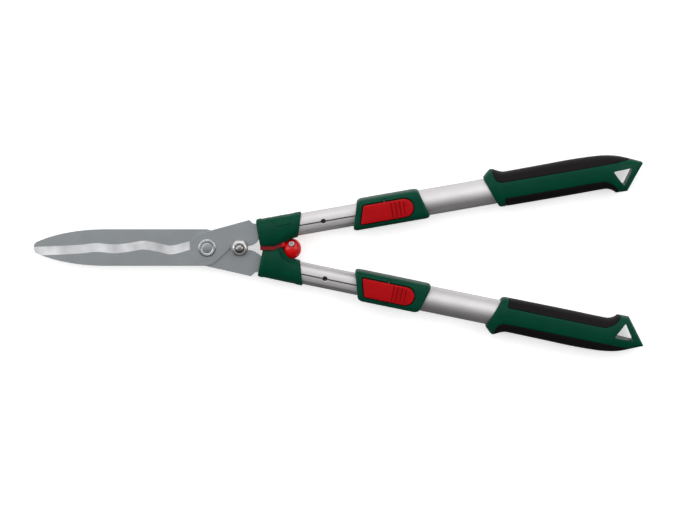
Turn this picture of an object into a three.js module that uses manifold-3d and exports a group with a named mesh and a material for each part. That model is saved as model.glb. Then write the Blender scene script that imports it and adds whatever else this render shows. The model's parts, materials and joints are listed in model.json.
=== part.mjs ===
// Telescopic hedge shears, closed and lying flat, in millimetres.
// The drawing is centred on the blade pivot: +X runs along the shears towards the grips,
// +Y from the lower handle to the upper one, and +Z from the rear blade to the front blade.
// Each handle is drawn along its own tube: x along the tube, y away from the other handle.
// The finished group is moved so that its origin is the middle of the face it lies on.

import * as THREE from 'three';
import { mergeVertices } from 'three/addons/utils/BufferGeometryUtils.js';
import Module from 'manifold-3d';

const wasm = await Module();
wasm.setup();

const GAP = 0.3; // between any two pieces that would touch
const FAR = 60; // beyond everything that lies across a tube
const WELD = 1e-4;

// Blades
const PLATE_BOTTOM = 0.15; // half of the gap between the two blades
const PLATE_TOP = 3.15;
const SPINE_Y = 20.5;
const SPINE_START_X = -118;
const TIP_X = -195.5;
const BEVEL_WIDTH = 9.8;
const BEVEL_END_X = -19.5;
const EDGE_THICKNESS = 0.5;
const EDGE_WAVE = [
  [TIP_X, 1], [-168, 2], [-142.5, 3.4], [-124.6, 5.2], [-105.4, 3.6],
  [-88, 5.4], [-71.5, 7.8], [-55, 5.2], [-39.9, 2.4], [BEVEL_END_X, 7.6],
]; // the cutting edge, from the tip to the hub
const WAVE_STEPS = 26;
const TANG_HALF_WIDTH = 9.2;
const NECK_U = 58.8; // where the tang becomes straight
const TANG_END = 98;
const TANG_SCREW_U = 74;
const TANG_HOLE_RADIUS = 2.1;

// Pivot bolt and the closing stop's bolt
const PIVOT_SHANK_RADIUS = 4.9;
const PIVOT_HOLE_RADIUS = 5.2;
const STOP_X = 36.8;
const STOP_SHANK_RADIUS = 4.7;
const STOP_HOLE_RADIUS = 5;
const SLEEVE_RADIUS = 8.9;
const NOTCH_RADIUS = SLEEVE_RADIUS + GAP;
const EYE_RADIUS = 9.4;
const WASHER_THICKNESS = 1.4;
const PIVOT_WASHER_RADIUS = 9.4;
const STOP_WASHER_RADIUS = 9.3;
const NUT_ACROSS_FLATS = 17;
const PIVOT_NUT = { depth: 7, rim: 9.8, faceRadius: 7.9 };
const STOP_NUT = { top: 11, rim: 9.2, faceRadius: 6.6 };

// Bumper between the ferrules
const BALL = { x: 95.8, y: -1.3, radius: 10.4, halfWidth: 11.4, halfHeight: 10.6, power: 2.2 };
const BALL_SIDES = 20;
const CUP = { radius: 14.6, floor: 6 }; // the hollow in the ferrules round the ball
const STRIP_HALF_HEIGHT = 8;
const STRIP_THICKNESS = 4.9;
const STRIP_TOP = [[60, 2.6], [74, 2.7], [80, 4.6], [88, 7.4]];
const BALL_SCREW = { x: 95.4, y: 5, seat: 7.4, headTop: 9.2, headRadius: 3.3, shankRadius: 1.5, low: -4 };

// Tubes
const INNER_RADIUS = 12.3;
const INNER_WALL = 1.5;
const INNER_START = 80;
const INNER_END = 352;
const STOP_PLUG_LENGTH = 14;
const STOP_RIM_LENGTH = 6;
const OUTER_RADIUS = 15;
const OUTER_WALL = 1.5;
const OUTER_START = 192;
const OUTER_END = 462;
const GROOVE_WIDTH = 2;
const GROOVE_DEPTH = 0.9;
const LOCK_PITCH = 50;
const LOCK_U = 184.7; // the lock pin's place along the tube
const LOCK_STEPS = [-1, 0, 1, 2, 3]; // the lock holes, counted from the pin's own
const LOCK_HOLE_RADIUS = 2.6;
const TUBE_SIDES = 24;
const PIN_ROOM_SIDES = 16;
const HOLE_SIDES = 12;

// Ferrules, drawn along the tube
const FERRULE_START = 59.5;
const FERRULE_END_SLOPE = 0.3;
const FERRULE_OUTER = 13.9;
const FERRULE_HEIGHT = { front: 12.4, rear: 14.3 }; // above and below the middle
const FERRULE_GROWTH_END = 36; // from the front end, where it is as high as its rear
const FERRULE_LEAN = { start: 12, end: 44 }; // from the front end, where the rings begin to lean
const FERRULE_POWER = 2.5;
const FERRULE_SIDES = 20;
const FERRULE_SLOT_END = 82; // of the slot that the tang lies in
const FERRULE_INNER = {
  upper: [[56, -19], [75, -21.5], [86, -20.5], [93, -17], [103, -13.8], [112, -13.5]],
  lower: [
    [56, -19.5], [70, -22.5], [78, -25.5], [84, -25], [90, -19], [96.5, -14.8], [103, -13.8], [112, -13.5],
  ],
}; // how far a ferrule reaches towards the other handle
const TUBE_SCREW_U = 93;

// Pan-head screws
const SCREW = { radius: 1.5, headRadius: 3.1, pointLength: 1 };
const TANG_SCREW = { headLow: -12.8, seat: -11, tip: 8 };
const TUBE_SCREW = { headLow: -15, seat: -13.6, tip: -9 };
const COLLAR_SCREW = { headLow: -17.8, seat: -16.5, tip: -13 };

// Latch housing
const REST_Z = -18; // the plane that the shears lie on
const COLLAR_FRONT = 171;
const COLLAR_REAR = 250;
const COLLAR_FRONT_SLOPE = 0.3;
const COLLAR_REAR_SLOPE = -0.27;
const COLLAR_HALF_WIDTH = 17.2;
const COLLAR_BOTTOM = 18.4;
const COLLAR_TOP = 20;
const COLLAR_SCREW_U = 234;
const COLLAR_POWER = { bottom: 3, top: 4.6 };
const COLLAR_SIDES = 24;
const RECESS_FLOOR = 14.6; // of the hollow that the lever lies in
const KEY = { start: 175, end: 180.5, depth: 0.4, height: 2 }; // runs in the inner tube's groove

// Latch lever and what works it
const LEVER = { start: 178.8, end: 237.2, slope: 0.31, halfWidth: 10.3, bottom: 18.3, top: 21.2 };
const LEVER_CORNER = 2.2;
const LEVER_CLEARANCE = 1.1;
const AXLE_U = 206;
const AXLE_Z = 17.2;
const AXLE_RADIUS = 1.4;
const AXLE_HALF_LENGTH = 13.4;
const AXLE_LUG = { halfLength: 3.5, inset: 0.6 }; // under the lever, round its axle
const PIN_RADIUS = 2.1;
const PIN_BOSS = { wall: 1.5, low: 15 }; // under the lever, round the pin
const RIB_START = 214.5;
const RIB_PITCH = 4.7;
const RIB_COUNT = 4;
const RIB = { halfLength: 0.8, halfWidth: 7.2, height: 0.6 };
const SPRING = { u: 225, radius: 3.4, wire: 0.35, turns: 2, low: 15.7, high: 17.6 };

// Grip
const GRIP_END = 499.7;
const PAD_DEPTH = 2;
const GRIP_OUTER_EDGE = [
  [340, 19], [381, 19.3], [420, 19.7], [448, 18.8], [462, 17.2], [473, 14.6], [484, 10.4], [GRIP_END, 3.2],
]; // how far the grip reaches away from the other handle
const GRIP_INNER_EDGE = [
  [333, -19.5], [400, -19.8], [448, -19.6], [456, -20.2], [461, -22.4], [464.6, -25.9],
]; // how far it reaches towards the other handle, as far as the hook's first corner
const HOOK_EDGE = [[464.6, -25.9], [477.7, -26.1], [GRIP_END, 1.6]]; // its straight edges from there
const GRIP_STATIONS = [350, 385, 420, 448, 456, 461, 464.6, 477.7, 484, 491, GRIP_END];
const GRIP_SIDES = 20;
const GRIP_HALF_HEIGHT = { middle: 17.3, end: 9 };
const GRIP_TAPER = { start: 462, power: 1.2 }; // how the hook gets lower towards the end
const GRIP_POWER = { start: 455, end: 480, plain: 2.4, gain: 0.8 }; // how it gets squarer there
const THIN = { inner: 477, outer: 491, share: 0.4, endShare: 0.2 }; // where the hook is thin
const FLANGE = [
  { u: 325.9, low: -17, high: 14.5, height: 16.4, slope: -0.36 },
  { u: 327.1, low: -19, high: 17.5, height: 17.6, slope: -0.36 },
  { u: 333.1, low: -19.5, high: 24.9, height: 18.4, slope: -0.13 },
  { u: 340.5, low: -19.5, high: 20.2, height: 17.4, slope: -0.02 },
]; // the swollen front end of the grip
const HOOK_HOLE = [[465.2, -0.8], [487.6, -0.8], [474.8, -19.4]];
const HOOK_HOLE_CORNER = 2.4;
const OUTER_PAD_EDGE = [
  [331.7, 17], [333.5, 12.5], [338, 9.6], [346, 8.8], [405, 8.4], [456, 8.3], [478, 8.8], [492, 9.4],
];
const INNER_PAD_EDGE = [
  [340.5, -10], [400, -9.8], [448, -9.9], [456, -11.3], [462, -15.2], [466, -20], [469, -27],
];

// Reach moves a handle out along its tube, and gripShift moves its grip further still.
const HANDLES = [
  { name: 'upper', side: 1, angle: THREE.MathUtils.degToRad(9.94), offset: 8, reach: 0, gripShift: 0 },
  { name: 'lower', side: -1, angle: THREE.MathUtils.degToRad(11.7), offset: 6.5, reach: 2.5, gripShift: 3 },
];

const COLOURS = {
  blade: { color: 0x868b8f, roughness: 0.4, metalness: 1 },
  steel: { color: 0xb9bbbd, roughness: 0.3, metalness: 1 },
  chrome: { color: 0xd8dadc, roughness: 0.12, metalness: 1 },
  aluminium: { color: 0xb9b6b7, roughness: 0.35, metalness: 1 },
  green: { color: 0x005438, roughness: 0.4, metalness: 0 },
  black: { color: 0x231e1e, roughness: 0.6, metalness: 0 },
  red: { color: 0xbe1419, roughness: 0.3, metalness: 0 },
  rubber: { color: 0xc80a10, roughness: 0.35, metalness: 0 },
};

// ---------- solids ----------

function signedVolume(position, index) {
  let six = 0;
  const [a, b, c] = [new THREE.Vector3(), new THREE.Vector3(), new THREE.Vector3()];
  for (let i = 0; i < index.count; i += 3) {
    a.fromBufferAttribute(position, index.getX(i));
    b.fromBufferAttribute(position, index.getX(i + 1));
    c.fromBufferAttribute(position, index.getX(i + 2));
    six += a.dot(b.cross(c));
  }
  return six;
}

// A closed geometry as a solid, with its faces turned outwards.
function solid(geometry) {
  const bare = new THREE.BufferGeometry();
  bare.setAttribute('position', geometry.getAttribute('position'));
  bare.setIndex(geometry.getIndex());
  const merged = mergeVertices(bare, WELD);
  const index = merged.getIndex();
  const corners = Uint32Array.from(index.array);
  if (signedVolume(merged.getAttribute('position'), index) < 0) corners.reverse();
  const vertProperties = Float32Array.from(merged.getAttribute('position').array);
  return new wasm.Manifold(new wasm.Mesh({ numProp: 3, vertProperties, triVerts: corners }));
}

function cut(body, ...tools) {
  return tools.reduce((rest, tool) => rest.subtract(tool), body);
}

function join(body, ...others) {
  return others.reduce((sum, other) => sum.add(other), body);
}

function geometryOf(body) {
  const mesh = body.getMesh();
  const geometry = new THREE.BufferGeometry();
  geometry.setAttribute('position', new THREE.BufferAttribute(mesh.vertProperties, 3));
  geometry.setIndex(new THREE.BufferAttribute(mesh.triVerts, 1));
  return geometry;
}

// A plan outline made thick between two heights.
function plate(shape, low, high, curveSegments = 6) {
  const geometry = new THREE.ExtrudeGeometry(shape, {
    depth: high - low, bevelEnabled: false, curveSegments,
  });
  geometry.translate(0, 0, low);
  return solid(geometry);
}

// A profile of [radius, height] points turned about +Z.
function turned(profile, sides = TUBE_SIDES) {
  const points = profile.map(([radius, height]) => new THREE.Vector2(radius, height));
  const geometry = new THREE.LatheGeometry(points, sides);
  geometry.rotateX(Math.PI / 2);
  return solid(geometry);
}

function post(x, y, radius, low, high, sides = TUBE_SIDES) {
  const profile = [[0, low], [radius, low], [radius, high], [0, high]];
  return turned(profile, sides).translate([x, y, 0]);
}

// A round bar along the tube's own direction.
function bar(radius, start, end, sides = TUBE_SIDES) {
  return post(0, 0, radius, start, end, sides).rotate([0, 90, 0]);
}

function block(x0, x1, y0, y1, z0, z1) {
  const geometry = new THREE.BoxGeometry(x1 - x0, y1 - y0, z1 - z0);
  geometry.translate((x0 + x1) / 2, (y0 + y1) / 2, (z0 + z1) / 2);
  return solid(geometry);
}

// A hexagon nut with both faces turned to a cone at the corners.
function nut(x, low, high, holeRadius, { rim, faceRadius }) {
  const drop = 2;
  const hexagon = post(0, 0, NUT_ACROSS_FLATS / Math.sqrt(3), low, high, 6);
  const cone = turned([
    [0, low], [faceRadius, low], [rim, low + drop], [rim, high - drop], [faceRadius, high], [0, high],
  ]);
  return cut(hexagon.intersect(cone), post(0, 0, holeRadius, low - 1, high + 1)).translate([x, 0, 0]);
}

// A skin over rings that all have the same number of points, closed by a fan at each end.
function loft(rings) {
  const sides = rings[0].length;
  const points = rings.flat();
  const faces = [];
  for (let r = 0; r + 1 < rings.length; r += 1) {
    for (let s = 0; s < sides; s += 1) {
      const next = (s + 1) % sides;
      const [here, ahead] = [r * sides, (r + 1) * sides];
      faces.push(here + s, here + next, ahead + next, here + s, ahead + next, ahead + s);
    }
  }
  for (const [first, flip] of [[0, true], [(rings.length - 1) * sides, false]]) {
    const middle = new THREE.Vector3();
    for (let s = 0; s < sides; s += 1) middle.addScaledVector(points[first + s], 1 / sides);
    points.push(middle);
    for (let s = 0; s < sides; s += 1) {
      const [a, b] = [first + s, first + ((s + 1) % sides)];
      faces.push(points.length - 1, flip ? b : a, flip ? a : b);
    }
  }
  const geometry = new THREE.BufferGeometry().setFromPoints(points);
  geometry.setIndex(faces);
  return solid(geometry);
}

// One ring of a loft: a squarish oval across the tube, leaning by slope and flat at its floor.
function ovalRing({ u, low, high, bottom, top, power, topPower = power, slope = 0, sides, floor = -FAR }) {
  const [middle, half] = [(low + high) / 2, (high - low) / 2];
  const ring = [];
  for (let s = 0; s < sides; s += 1) {
    const angle = ((s + 0.5) * 2 * Math.PI) / sides;
    const [c, n] = [Math.cos(angle), Math.sin(angle)];
    const p = n > 0 ? topPower : power;
    const y = middle + half * Math.sign(c) * Math.abs(c) ** (2 / p);
    const z = (n > 0 ? top : -bottom) * Math.abs(n) ** (2 / p);
    ring.push(new THREE.Vector3(u + slope * y, y, Math.max(z, floor)));
  }
  return ring;
}

// A smooth height over a list of [place, height] points.
function smoothCurve(pairs) {
  const curve = new THREE.SplineCurve(pairs.map(([x, y]) => new THREE.Vector2(x, y)));
  const samples = curve.getPoints(pairs.length * 12);
  return (x) => {
    const i = Math.max(1, samples.findIndex((sample) => sample.x >= x));
    const [a, b] = [samples[i - 1], samples[i]];
    const share = THREE.MathUtils.clamp((x - a.x) / (b.x - a.x), 0, 1);
    return a.y + share * (b.y - a.y);
  };
}

// A polygon with its corners rounded.
function roundedShape(corners, radius) {
  const points = corners.map(([x, y]) => new THREE.Vector2(x, y));
  const shape = new THREE.Shape();
  points.forEach((point, i) => {
    const before = points[(i + points.length - 1) % points.length];
    const after = points[(i + 1) % points.length];
    const start = point.clone().lerp(before, radius / point.distanceTo(before));
    const end = point.clone().lerp(after, radius / point.distanceTo(after));
    if (i === 0) shape.moveTo(start.x, start.y);
    else shape.lineTo(start.x, start.y);
    shape.quadraticCurveTo(point.x, point.y, end.x, end.y);
  });
  return shape;
}

// ---------- blades ----------

// The cutting edge as a height over x, in the front blade's position.
const cuttingEdge = smoothCurve(EDGE_WAVE);

// A place given along a handle's tube, as a place about the pivot, for the upper side.
function fromHandle(handle, u, v) {
  const [c, s] = [Math.cos(handle.angle), Math.sin(handle.angle)];
  const [x, y] = [u + handle.reach, v + handle.offset];
  return [x * c - y * s, x * s + y * c];
}

// The blade, from the hub's inner side round the spine, the tip and the edge to the tang.
function bladeOutline(handle, hub) {
  const shape = new THREE.Shape();
  shape.moveTo(hub.diagonal[0], hub.diagonal[1]);
  shape.quadraticCurveTo(6, -SPINE_Y + 0.3, -2, -SPINE_Y);
  shape.lineTo(SPINE_START_X, -SPINE_Y);
  shape.bezierCurveTo(-150, -20, -176, -14, -193.8, -5.6);
  shape.quadraticCurveTo(-197.2, -1.6, TIP_X, 1);
  for (let i = 1; i <= WAVE_STEPS; i += 1) {
    const x = THREE.MathUtils.lerp(TIP_X, BEVEL_END_X, i / WAVE_STEPS);
    shape.lineTo(x, cuttingEdge(x));
  }
  hub.crown(shape);
  shape.lineTo(hub.shoulder[0], hub.shoulder[1]);
  shape.lineTo(hub.chamfer[0], hub.chamfer[1]);
  const neck = [[NECK_U, TANG_HALF_WIDTH], [TANG_END, TANG_HALF_WIDTH], [TANG_END, -TANG_HALF_WIDTH]];
  for (const [u, v] of neck) shape.lineTo(...fromHandle(handle, u, v));
  shape.lineTo(...fromHandle(handle, NECK_U, -TANG_HALF_WIDTH));
  shape.quadraticCurveTo(54.5, hub.gap[1] + 0.8, hub.gap[0], hub.gap[1]);
  hub.stop(shape);
  shape.lineTo(hub.diagonal[0], hub.diagonal[1]);
  return shape;
}

// The crown is the hub's far side, and the stop is where the hub meets the stop bolt.
const FRONT_HUB = {
  diagonal: [12.9, -12.6], shoulder: [47.8, 31.5], chamfer: [51.4, 27.7], gap: [46.2, 2],
  crown: (shape) => {
    shape.lineTo(-12.8, 13.3);
    shape.quadraticCurveTo(-10.4, 15.4, -7.2, 16.4);
  },
  stop: (shape) => shape.absarc(STOP_X, 0, NOTCH_RADIUS, 0.15, Math.PI - 0.1, false),
};

const REAR_HUB = {
  diagonal: [12.9, -12.6], shoulder: [49.4, 32.8], chamfer: [54, 28.6], gap: [48, 3.1],
  crown: (shape) => shape.absarc(0, 0, 21, 2.77, 1.8, true),
  stop: (shape) => shape.absarc(STOP_X, 0, EYE_RADIUS, 0.35, -1.9, true),
};

// The wedge that is ground away above the bevel.
function bevelWaste() {
  const rings = [];
  const heel = (x) => cuttingEdge(x) - BEVEL_WIDTH;
  for (let i = 0; i <= WAVE_STEPS; i += 1) {
    const x = THREE.MathUtils.lerp(TIP_X - 4, BEVEL_END_X, i / WAVE_STEPS);
    const slope = (PLATE_TOP - PLATE_BOTTOM - EDGE_THICKNESS) / BEVEL_WIDTH;
    const beyond = 2;
    rings.push([
      new THREE.Vector3(x, heel(x) - 0.01, PLATE_TOP + 0.01),
      new THREE.Vector3(x, cuttingEdge(x) + beyond, PLATE_BOTTOM + EDGE_THICKNESS - beyond * slope),
      new THREE.Vector3(x, cuttingEdge(x) + beyond, PLATE_TOP + beyond),
    ]);
  }
  return loft(rings);
}

function blade(handle, hub, holes) {
  const body = plate(bladeOutline(handle, hub), PLATE_BOTTOM, PLATE_TOP, 8);
  const drilled = holes.map(([x, y, radius]) => post(x, y, radius, -1, PLATE_TOP + 1, 20));
  return cut(body, bevelWaste(), ...drilled);
}

function frontBlade() {
  const screwHole = fromHandle(HANDLES[0], TANG_SCREW_U, 0);
  return blade(HANDLES[0], FRONT_HUB, [[0, 0, PIVOT_HOLE_RADIUS], [...screwHole, TANG_HOLE_RADIUS]]);
}

// The rear blade is drawn as a front blade and turned over about the length of the shears.
function rearBlade() {
  const screwHole = fromHandle(HANDLES[1], TANG_SCREW_U, 0);
  const holes = [
    [0, 0, PIVOT_HOLE_RADIUS], [STOP_X, 0, STOP_HOLE_RADIUS], [...screwHole, TANG_HOLE_RADIUS],
  ];
  return blade(HANDLES[1], REAR_HUB, holes).rotate([180, 0, 0]);
}

// ---------- pivot and stop ----------

function pivotBolt() {
  const under = PLATE_TOP + GAP;
  return turned([
    [0, -11.5], [PIVOT_SHANK_RADIUS - 0.8, -11.5], [PIVOT_SHANK_RADIUS, -10.7], [PIVOT_SHANK_RADIUS, under],
    [10, under], [10, under + 1], [9.3, under + 1.6], [8.7, under + 2.6], [7.4, under + 2.6],
    [6.8, under + 1.6], [5.2, under + 1.6], [4.7, under + 2.1], [0, under + 2.2],
  ]);
}

function washer(x, inner, outer, low, high) {
  return cut(post(x, 0, outer, low, high), post(x, 0, inner, low - 1, high + 1));
}

function stopBolt() {
  const headTop = -PLATE_TOP - GAP;
  return turned([
    [0, headTop - 4], [5, headTop - 3.8], [7.6, headTop - 2.4], [8.2, headTop - 1], [8.2, headTop],
    [STOP_SHANK_RADIUS, headTop], [STOP_SHANK_RADIUS, 12.2], [3.6, 13.4], [0, 13.9],
  ]).translate([STOP_X, 0, 0]);
}

function bumperStripShape(rise = 0, depth = STRIP_THICKNESS) {
  const top = new THREE.SplineCurve(STRIP_TOP.map(([x, y]) => new THREE.Vector2(x, y + rise)));
  const points = top.getPoints(6);
  const under = points.map((point) => new THREE.Vector2(point.x, point.y - depth)).reverse();
  return new THREE.Shape([...points, ...under]);
}

// The ball, or the same shape made larger all round. It is a little wider across than along.
function ball(extra) {
  const profile = [];
  const steps = 10;
  for (let i = 0; i <= steps; i += 1) {
    const angle = -Math.PI / 2 + (i * Math.PI) / steps;
    const [c, n] = [Math.cos(angle), Math.sin(angle)];
    const end = i === 0 || i === steps;
    const radius = end ? 0 : (BALL.radius + extra) * c ** (2 / BALL.power);
    profile.push([radius, (BALL.halfHeight + extra) * Math.sign(n) * Math.abs(n) ** (2 / BALL.power)]);
  }
  const across = (BALL.halfWidth + extra) / (BALL.radius + extra);
  return turned(profile, BALL_SIDES).scale([1, across, 1]).translate([BALL.x, BALL.y, 0]);
}

function ballScrew() {
  const { x, y, seat, headRadius, headTop, shankRadius, low } = BALL_SCREW;
  const head = post(x, y, headRadius, seat, headTop, HOLE_SIDES);
  return join(head, post(x, y, shankRadius, low, seat, HOLE_SIDES));
}

function ballScrewRoom() {
  const { x, y, seat, headRadius, shankRadius, low } = BALL_SCREW;
  const head = post(x, y, headRadius + GAP, seat - GAP, BALL.halfHeight + 1, HOLE_SIDES);
  return join(head, post(x, y, shankRadius + GAP, low - GAP, seat, HOLE_SIDES));
}

function bumper() {
  const strip = plate(bumperStripShape(), -STRIP_HALF_HEIGHT, STRIP_HALF_HEIGHT);
  return cut(join(strip, ball(0)), ballScrewRoom());
}

// ---------- along one handle ----------

// What the ferrule leaves free beside the bumper, in the handle's own place.
function bumperRoom(handle) {
  const upper = handle.side > 0;
  const strip = upper
    ? bumperStripShape(GAP, FAR)
    : bumperStripShape(FAR - STRIP_THICKNESS - GAP, FAR);
  const cup = post(BALL.x, BALL.y, CUP.radius, CUP.floor, FAR);
  const room = join(plate(strip, -FAR, FAR), ball(2 * GAP), cup);
  const turnedBack = room.rotate([0, 0, -handle.side * THREE.MathUtils.radToDeg(handle.angle)]);
  const placed = turnedBack.translate([-handle.reach, -handle.side * handle.offset, 0]);
  return upper ? placed : placed.mirror([0, 1, 0]);
}

// What a screw's head and shank leave free, from below up to a height.
function screwRoom(u, seat, high) {
  const shank = post(u, 0, SCREW.radius + GAP, -FAR, high, HOLE_SIDES);
  return join(shank, post(u, 0, SCREW.headRadius + GAP, -FAR, seat + GAP, HOLE_SIDES));
}

function ferrule(handle) {
  const inner = smoothCurve(FERRULE_INNER[handle.name]);
  const plain = [3, 14, 19, 25, 31, 37, 42].map((along) => [along, 0]);
  const stations = [[0, -2], [1.2, -0.6], ...plain, [48, -0.3]];
  const rings = stations.map(([along, swell]) => {
    const u = FERRULE_START + along;
    const lean = THREE.MathUtils.smoothstep(along, FERRULE_LEAN.start, FERRULE_LEAN.end);
    const growth = THREE.MathUtils.smoothstep(along, 0, FERRULE_GROWTH_END);
    const height = THREE.MathUtils.lerp(FERRULE_HEIGHT.front, FERRULE_HEIGHT.rear, growth) + swell;
    return ovalRing({
      u, low: inner(u) - swell, high: FERRULE_OUTER + swell, bottom: height, top: height,
      power: FERRULE_POWER, slope: FERRULE_END_SLOPE * lean, sides: FERRULE_SIDES,
    });
  });
  const [wide, high] = [TANG_HALF_WIDTH + GAP, PLATE_TOP + GAP];
  return cut(
    loft(rings),
    block(0, FERRULE_SLOT_END, -wide, wide, -high, high),
    bar(INNER_RADIUS + GAP, INNER_START - GAP, FAR + INNER_START),
    screwRoom(TANG_SCREW_U, TANG_SCREW.seat, TANG_SCREW.tip + GAP),
    screwRoom(TUBE_SCREW_U, TUBE_SCREW.seat, 0),
    bumperRoom(handle),
  );
}

// A pan-head screw driven upwards from behind.
function screw(u, { headLow, seat, tip }) {
  const { radius, headRadius, pointLength } = SCREW;
  return turned([
    [0, headLow], [headRadius - 1.1, headLow + 0.1], [headRadius, headLow + 0.9], [headRadius, seat],
    [radius, seat], [radius, tip - pointLength], [0, tip],
  ], HOLE_SIDES).translate([u, 0, 0]);
}

function innerTube() {
  const floor = INNER_RADIUS - GROOVE_DEPTH;
  const groove = block(0, FAR + INNER_END, -GROOVE_WIDTH / 2, GROOVE_WIDTH / 2, floor, OUTER_RADIUS);
  const holes = LOCK_STEPS.map((step) => (
    post(LOCK_U + step * LOCK_PITCH, 0, LOCK_HOLE_RADIUS, 0, OUTER_RADIUS, HOLE_SIDES)
  ));
  return cut(
    bar(INNER_RADIUS, INNER_START, INNER_END),
    bar(INNER_RADIUS - INNER_WALL, 0, FAR + INNER_END),
    groove,
    ...holes,
    post(TUBE_SCREW_U, 0, SCREW.radius + GAP, -FAR, 0, HOLE_SIDES),
  );
}

// A plug in the end of the inner tube, with a rim that fits the outer tube.
function innerStop() {
  const plug = bar(INNER_RADIUS - INNER_WALL - GAP, INNER_END - STOP_PLUG_LENGTH, INNER_END + GAP);
  const rimEnd = INNER_END + STOP_RIM_LENGTH;
  return join(plug, bar(OUTER_RADIUS - OUTER_WALL - GAP, INNER_END + GAP, rimEnd));
}

function outerTube() {
  return cut(
    bar(OUTER_RADIUS, OUTER_START, OUTER_END),
    bar(OUTER_RADIUS - OUTER_WALL, 0, FAR + OUTER_END),
    post(COLLAR_SCREW_U, 0, SCREW.radius + GAP, -FAR, 0, HOLE_SIDES),
  );
}

// The lever's plan, with a slanted front end, or the same made larger all round.
function leverShape(extra) {
  const half = LEVER.halfWidth + extra;
  const front = (v) => LEVER.start - extra + LEVER.slope * v;
  const corner = LEVER_CORNER + extra;
  const rear = LEVER.end - LEVER.halfWidth;
  const shape = new THREE.Shape();
  shape.moveTo(front(-half) + corner, -half);
  shape.lineTo(rear, -half);
  shape.absarc(rear, 0, half, -Math.PI / 2, Math.PI / 2, false);
  shape.lineTo(front(half) + corner, half);
  shape.quadraticCurveTo(front(half), half, front(half - corner), half - corner);
  shape.lineTo(front(corner - half), corner - half);
  shape.quadraticCurveTo(front(-half), -half, front(-half) + corner, -half);
  return shape;
}

function axleBar(radius, halfLength) {
  return bar(radius, -halfLength, halfLength, HOLE_SIDES).rotate([0, 0, 90]).translate([AXLE_U, 0, AXLE_Z]);
}

// Each station is a place from an end, how much narrower the housing is there, and how much lower.
const COLLAR_END = [[0, 3.2, 2.2], [0.7, 1.8, 0.8], [2.2, 0.7, 0], [4.5, 0, 0]];

function collar() {
  const length = COLLAR_REAR - COLLAR_FRONT;
  const front = COLLAR_END.map((station) => [...station, COLLAR_FRONT_SLOPE]);
  const rear = COLLAR_END.map(([along, ...less]) => [length - along, ...less, COLLAR_REAR_SLOPE]).reverse();
  const rings = [...front, ...rear].map(([along, narrower, lower, slope]) => ovalRing({
    u: COLLAR_FRONT + along,
    low: narrower - COLLAR_HALF_WIDTH,
    high: COLLAR_HALF_WIDTH - narrower,
    bottom: COLLAR_BOTTOM - lower,
    top: COLLAR_TOP - lower,
    power: COLLAR_POWER.bottom,
    topPower: COLLAR_POWER.top,
    sides: COLLAR_SIDES,
    floor: REST_Z,
    slope,
  }));
  const keyHalf = GROOVE_WIDTH / 2 - GAP;
  const [keyLow, keyHigh] = [INNER_RADIUS - KEY.depth, INNER_RADIUS + KEY.height];
  const key = block(KEY.start, KEY.end, -keyHalf, keyHalf, keyLow, keyHigh);
  const hollowed = cut(
    loft(rings),
    bar(INNER_RADIUS + GAP, 0, OUTER_START),
    bar(OUTER_RADIUS + GAP, OUTER_START - GAP, FAR + COLLAR_REAR),
    plate(leverShape(LEVER_CLEARANCE), RECESS_FLOOR, FAR),
    post(LOCK_U, 0, PIN_RADIUS + 3 * GAP, 0, COLLAR_TOP, PIN_ROOM_SIDES),
    axleBar(AXLE_RADIUS + GAP, AXLE_HALF_LENGTH + GAP),
    screwRoom(COLLAR_SCREW_U, COLLAR_SCREW.seat, 0),
  );
  return join(hollowed, key);
}

function latchLever() {
  const { halfWidth, bottom, top } = LEVER;
  const ribs = [];
  for (let i = 0; i < RIB_COUNT; i += 1) {
    const u = RIB_START + i * RIB_PITCH;
    const reach = RIB.halfWidth;
    ribs.push(block(u - RIB.halfLength, u + RIB.halfLength, -reach, reach, bottom + 1, top + RIB.height));
  }
  const { halfLength, inset } = AXLE_LUG;
  const [lugHalf, lugLow] = [halfWidth - inset, AXLE_Z - AXLE_RADIUS - GAP];
  const body = join(
    plate(leverShape(0), bottom, top),
    block(AXLE_U - halfLength, AXLE_U + halfLength, -lugHalf, lugHalf, lugLow, bottom + 1),
    post(LOCK_U, 0, PIN_RADIUS + PIN_BOSS.wall, PIN_BOSS.low, bottom + 1, PIN_ROOM_SIDES),
    ...ribs,
  );
  const pinRoom = post(LOCK_U, 0, PIN_RADIUS + GAP, 0, bottom + GAP, PIN_ROOM_SIDES);
  return cut(body, axleBar(AXLE_RADIUS + GAP, FAR), pinRoom);
}

function latchAxle() {
  return axleBar(AXLE_RADIUS, AXLE_HALF_LENGTH);
}

function lockPin() {
  const low = INNER_RADIUS + GAP;
  return turned([
    [0, low], [PIN_RADIUS - 0.7, low], [PIN_RADIUS, low + 0.7], [PIN_RADIUS, LEVER.bottom], [0, LEVER.bottom],
  ], HOLE_SIDES).translate([LOCK_U, 0, 0]);
}

class Helix extends THREE.Curve {
  getPoint(t, target = new THREE.Vector3()) {
    const angle = t * SPRING.turns * 2 * Math.PI;
    const [x, y] = [SPRING.radius * Math.cos(angle), SPRING.radius * Math.sin(angle)];
    return target.set(SPRING.u + x, y, THREE.MathUtils.lerp(SPRING.low, SPRING.high, t));
  }
}

function latchSpring() {
  const wire = new THREE.Shape();
  wire.absarc(0, 0, SPRING.wire, 0, 2 * Math.PI, false);
  const steps = SPRING.turns * 8;
  return solid(new THREE.ExtrudeGeometry(wire, { steps, curveSegments: 3, extrudePath: new Helix() }));
}

// ---------- grip ----------

const gripOuter = smoothCurve(GRIP_OUTER_EDGE);
const gripCurve = smoothCurve(GRIP_INNER_EDGE);

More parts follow.
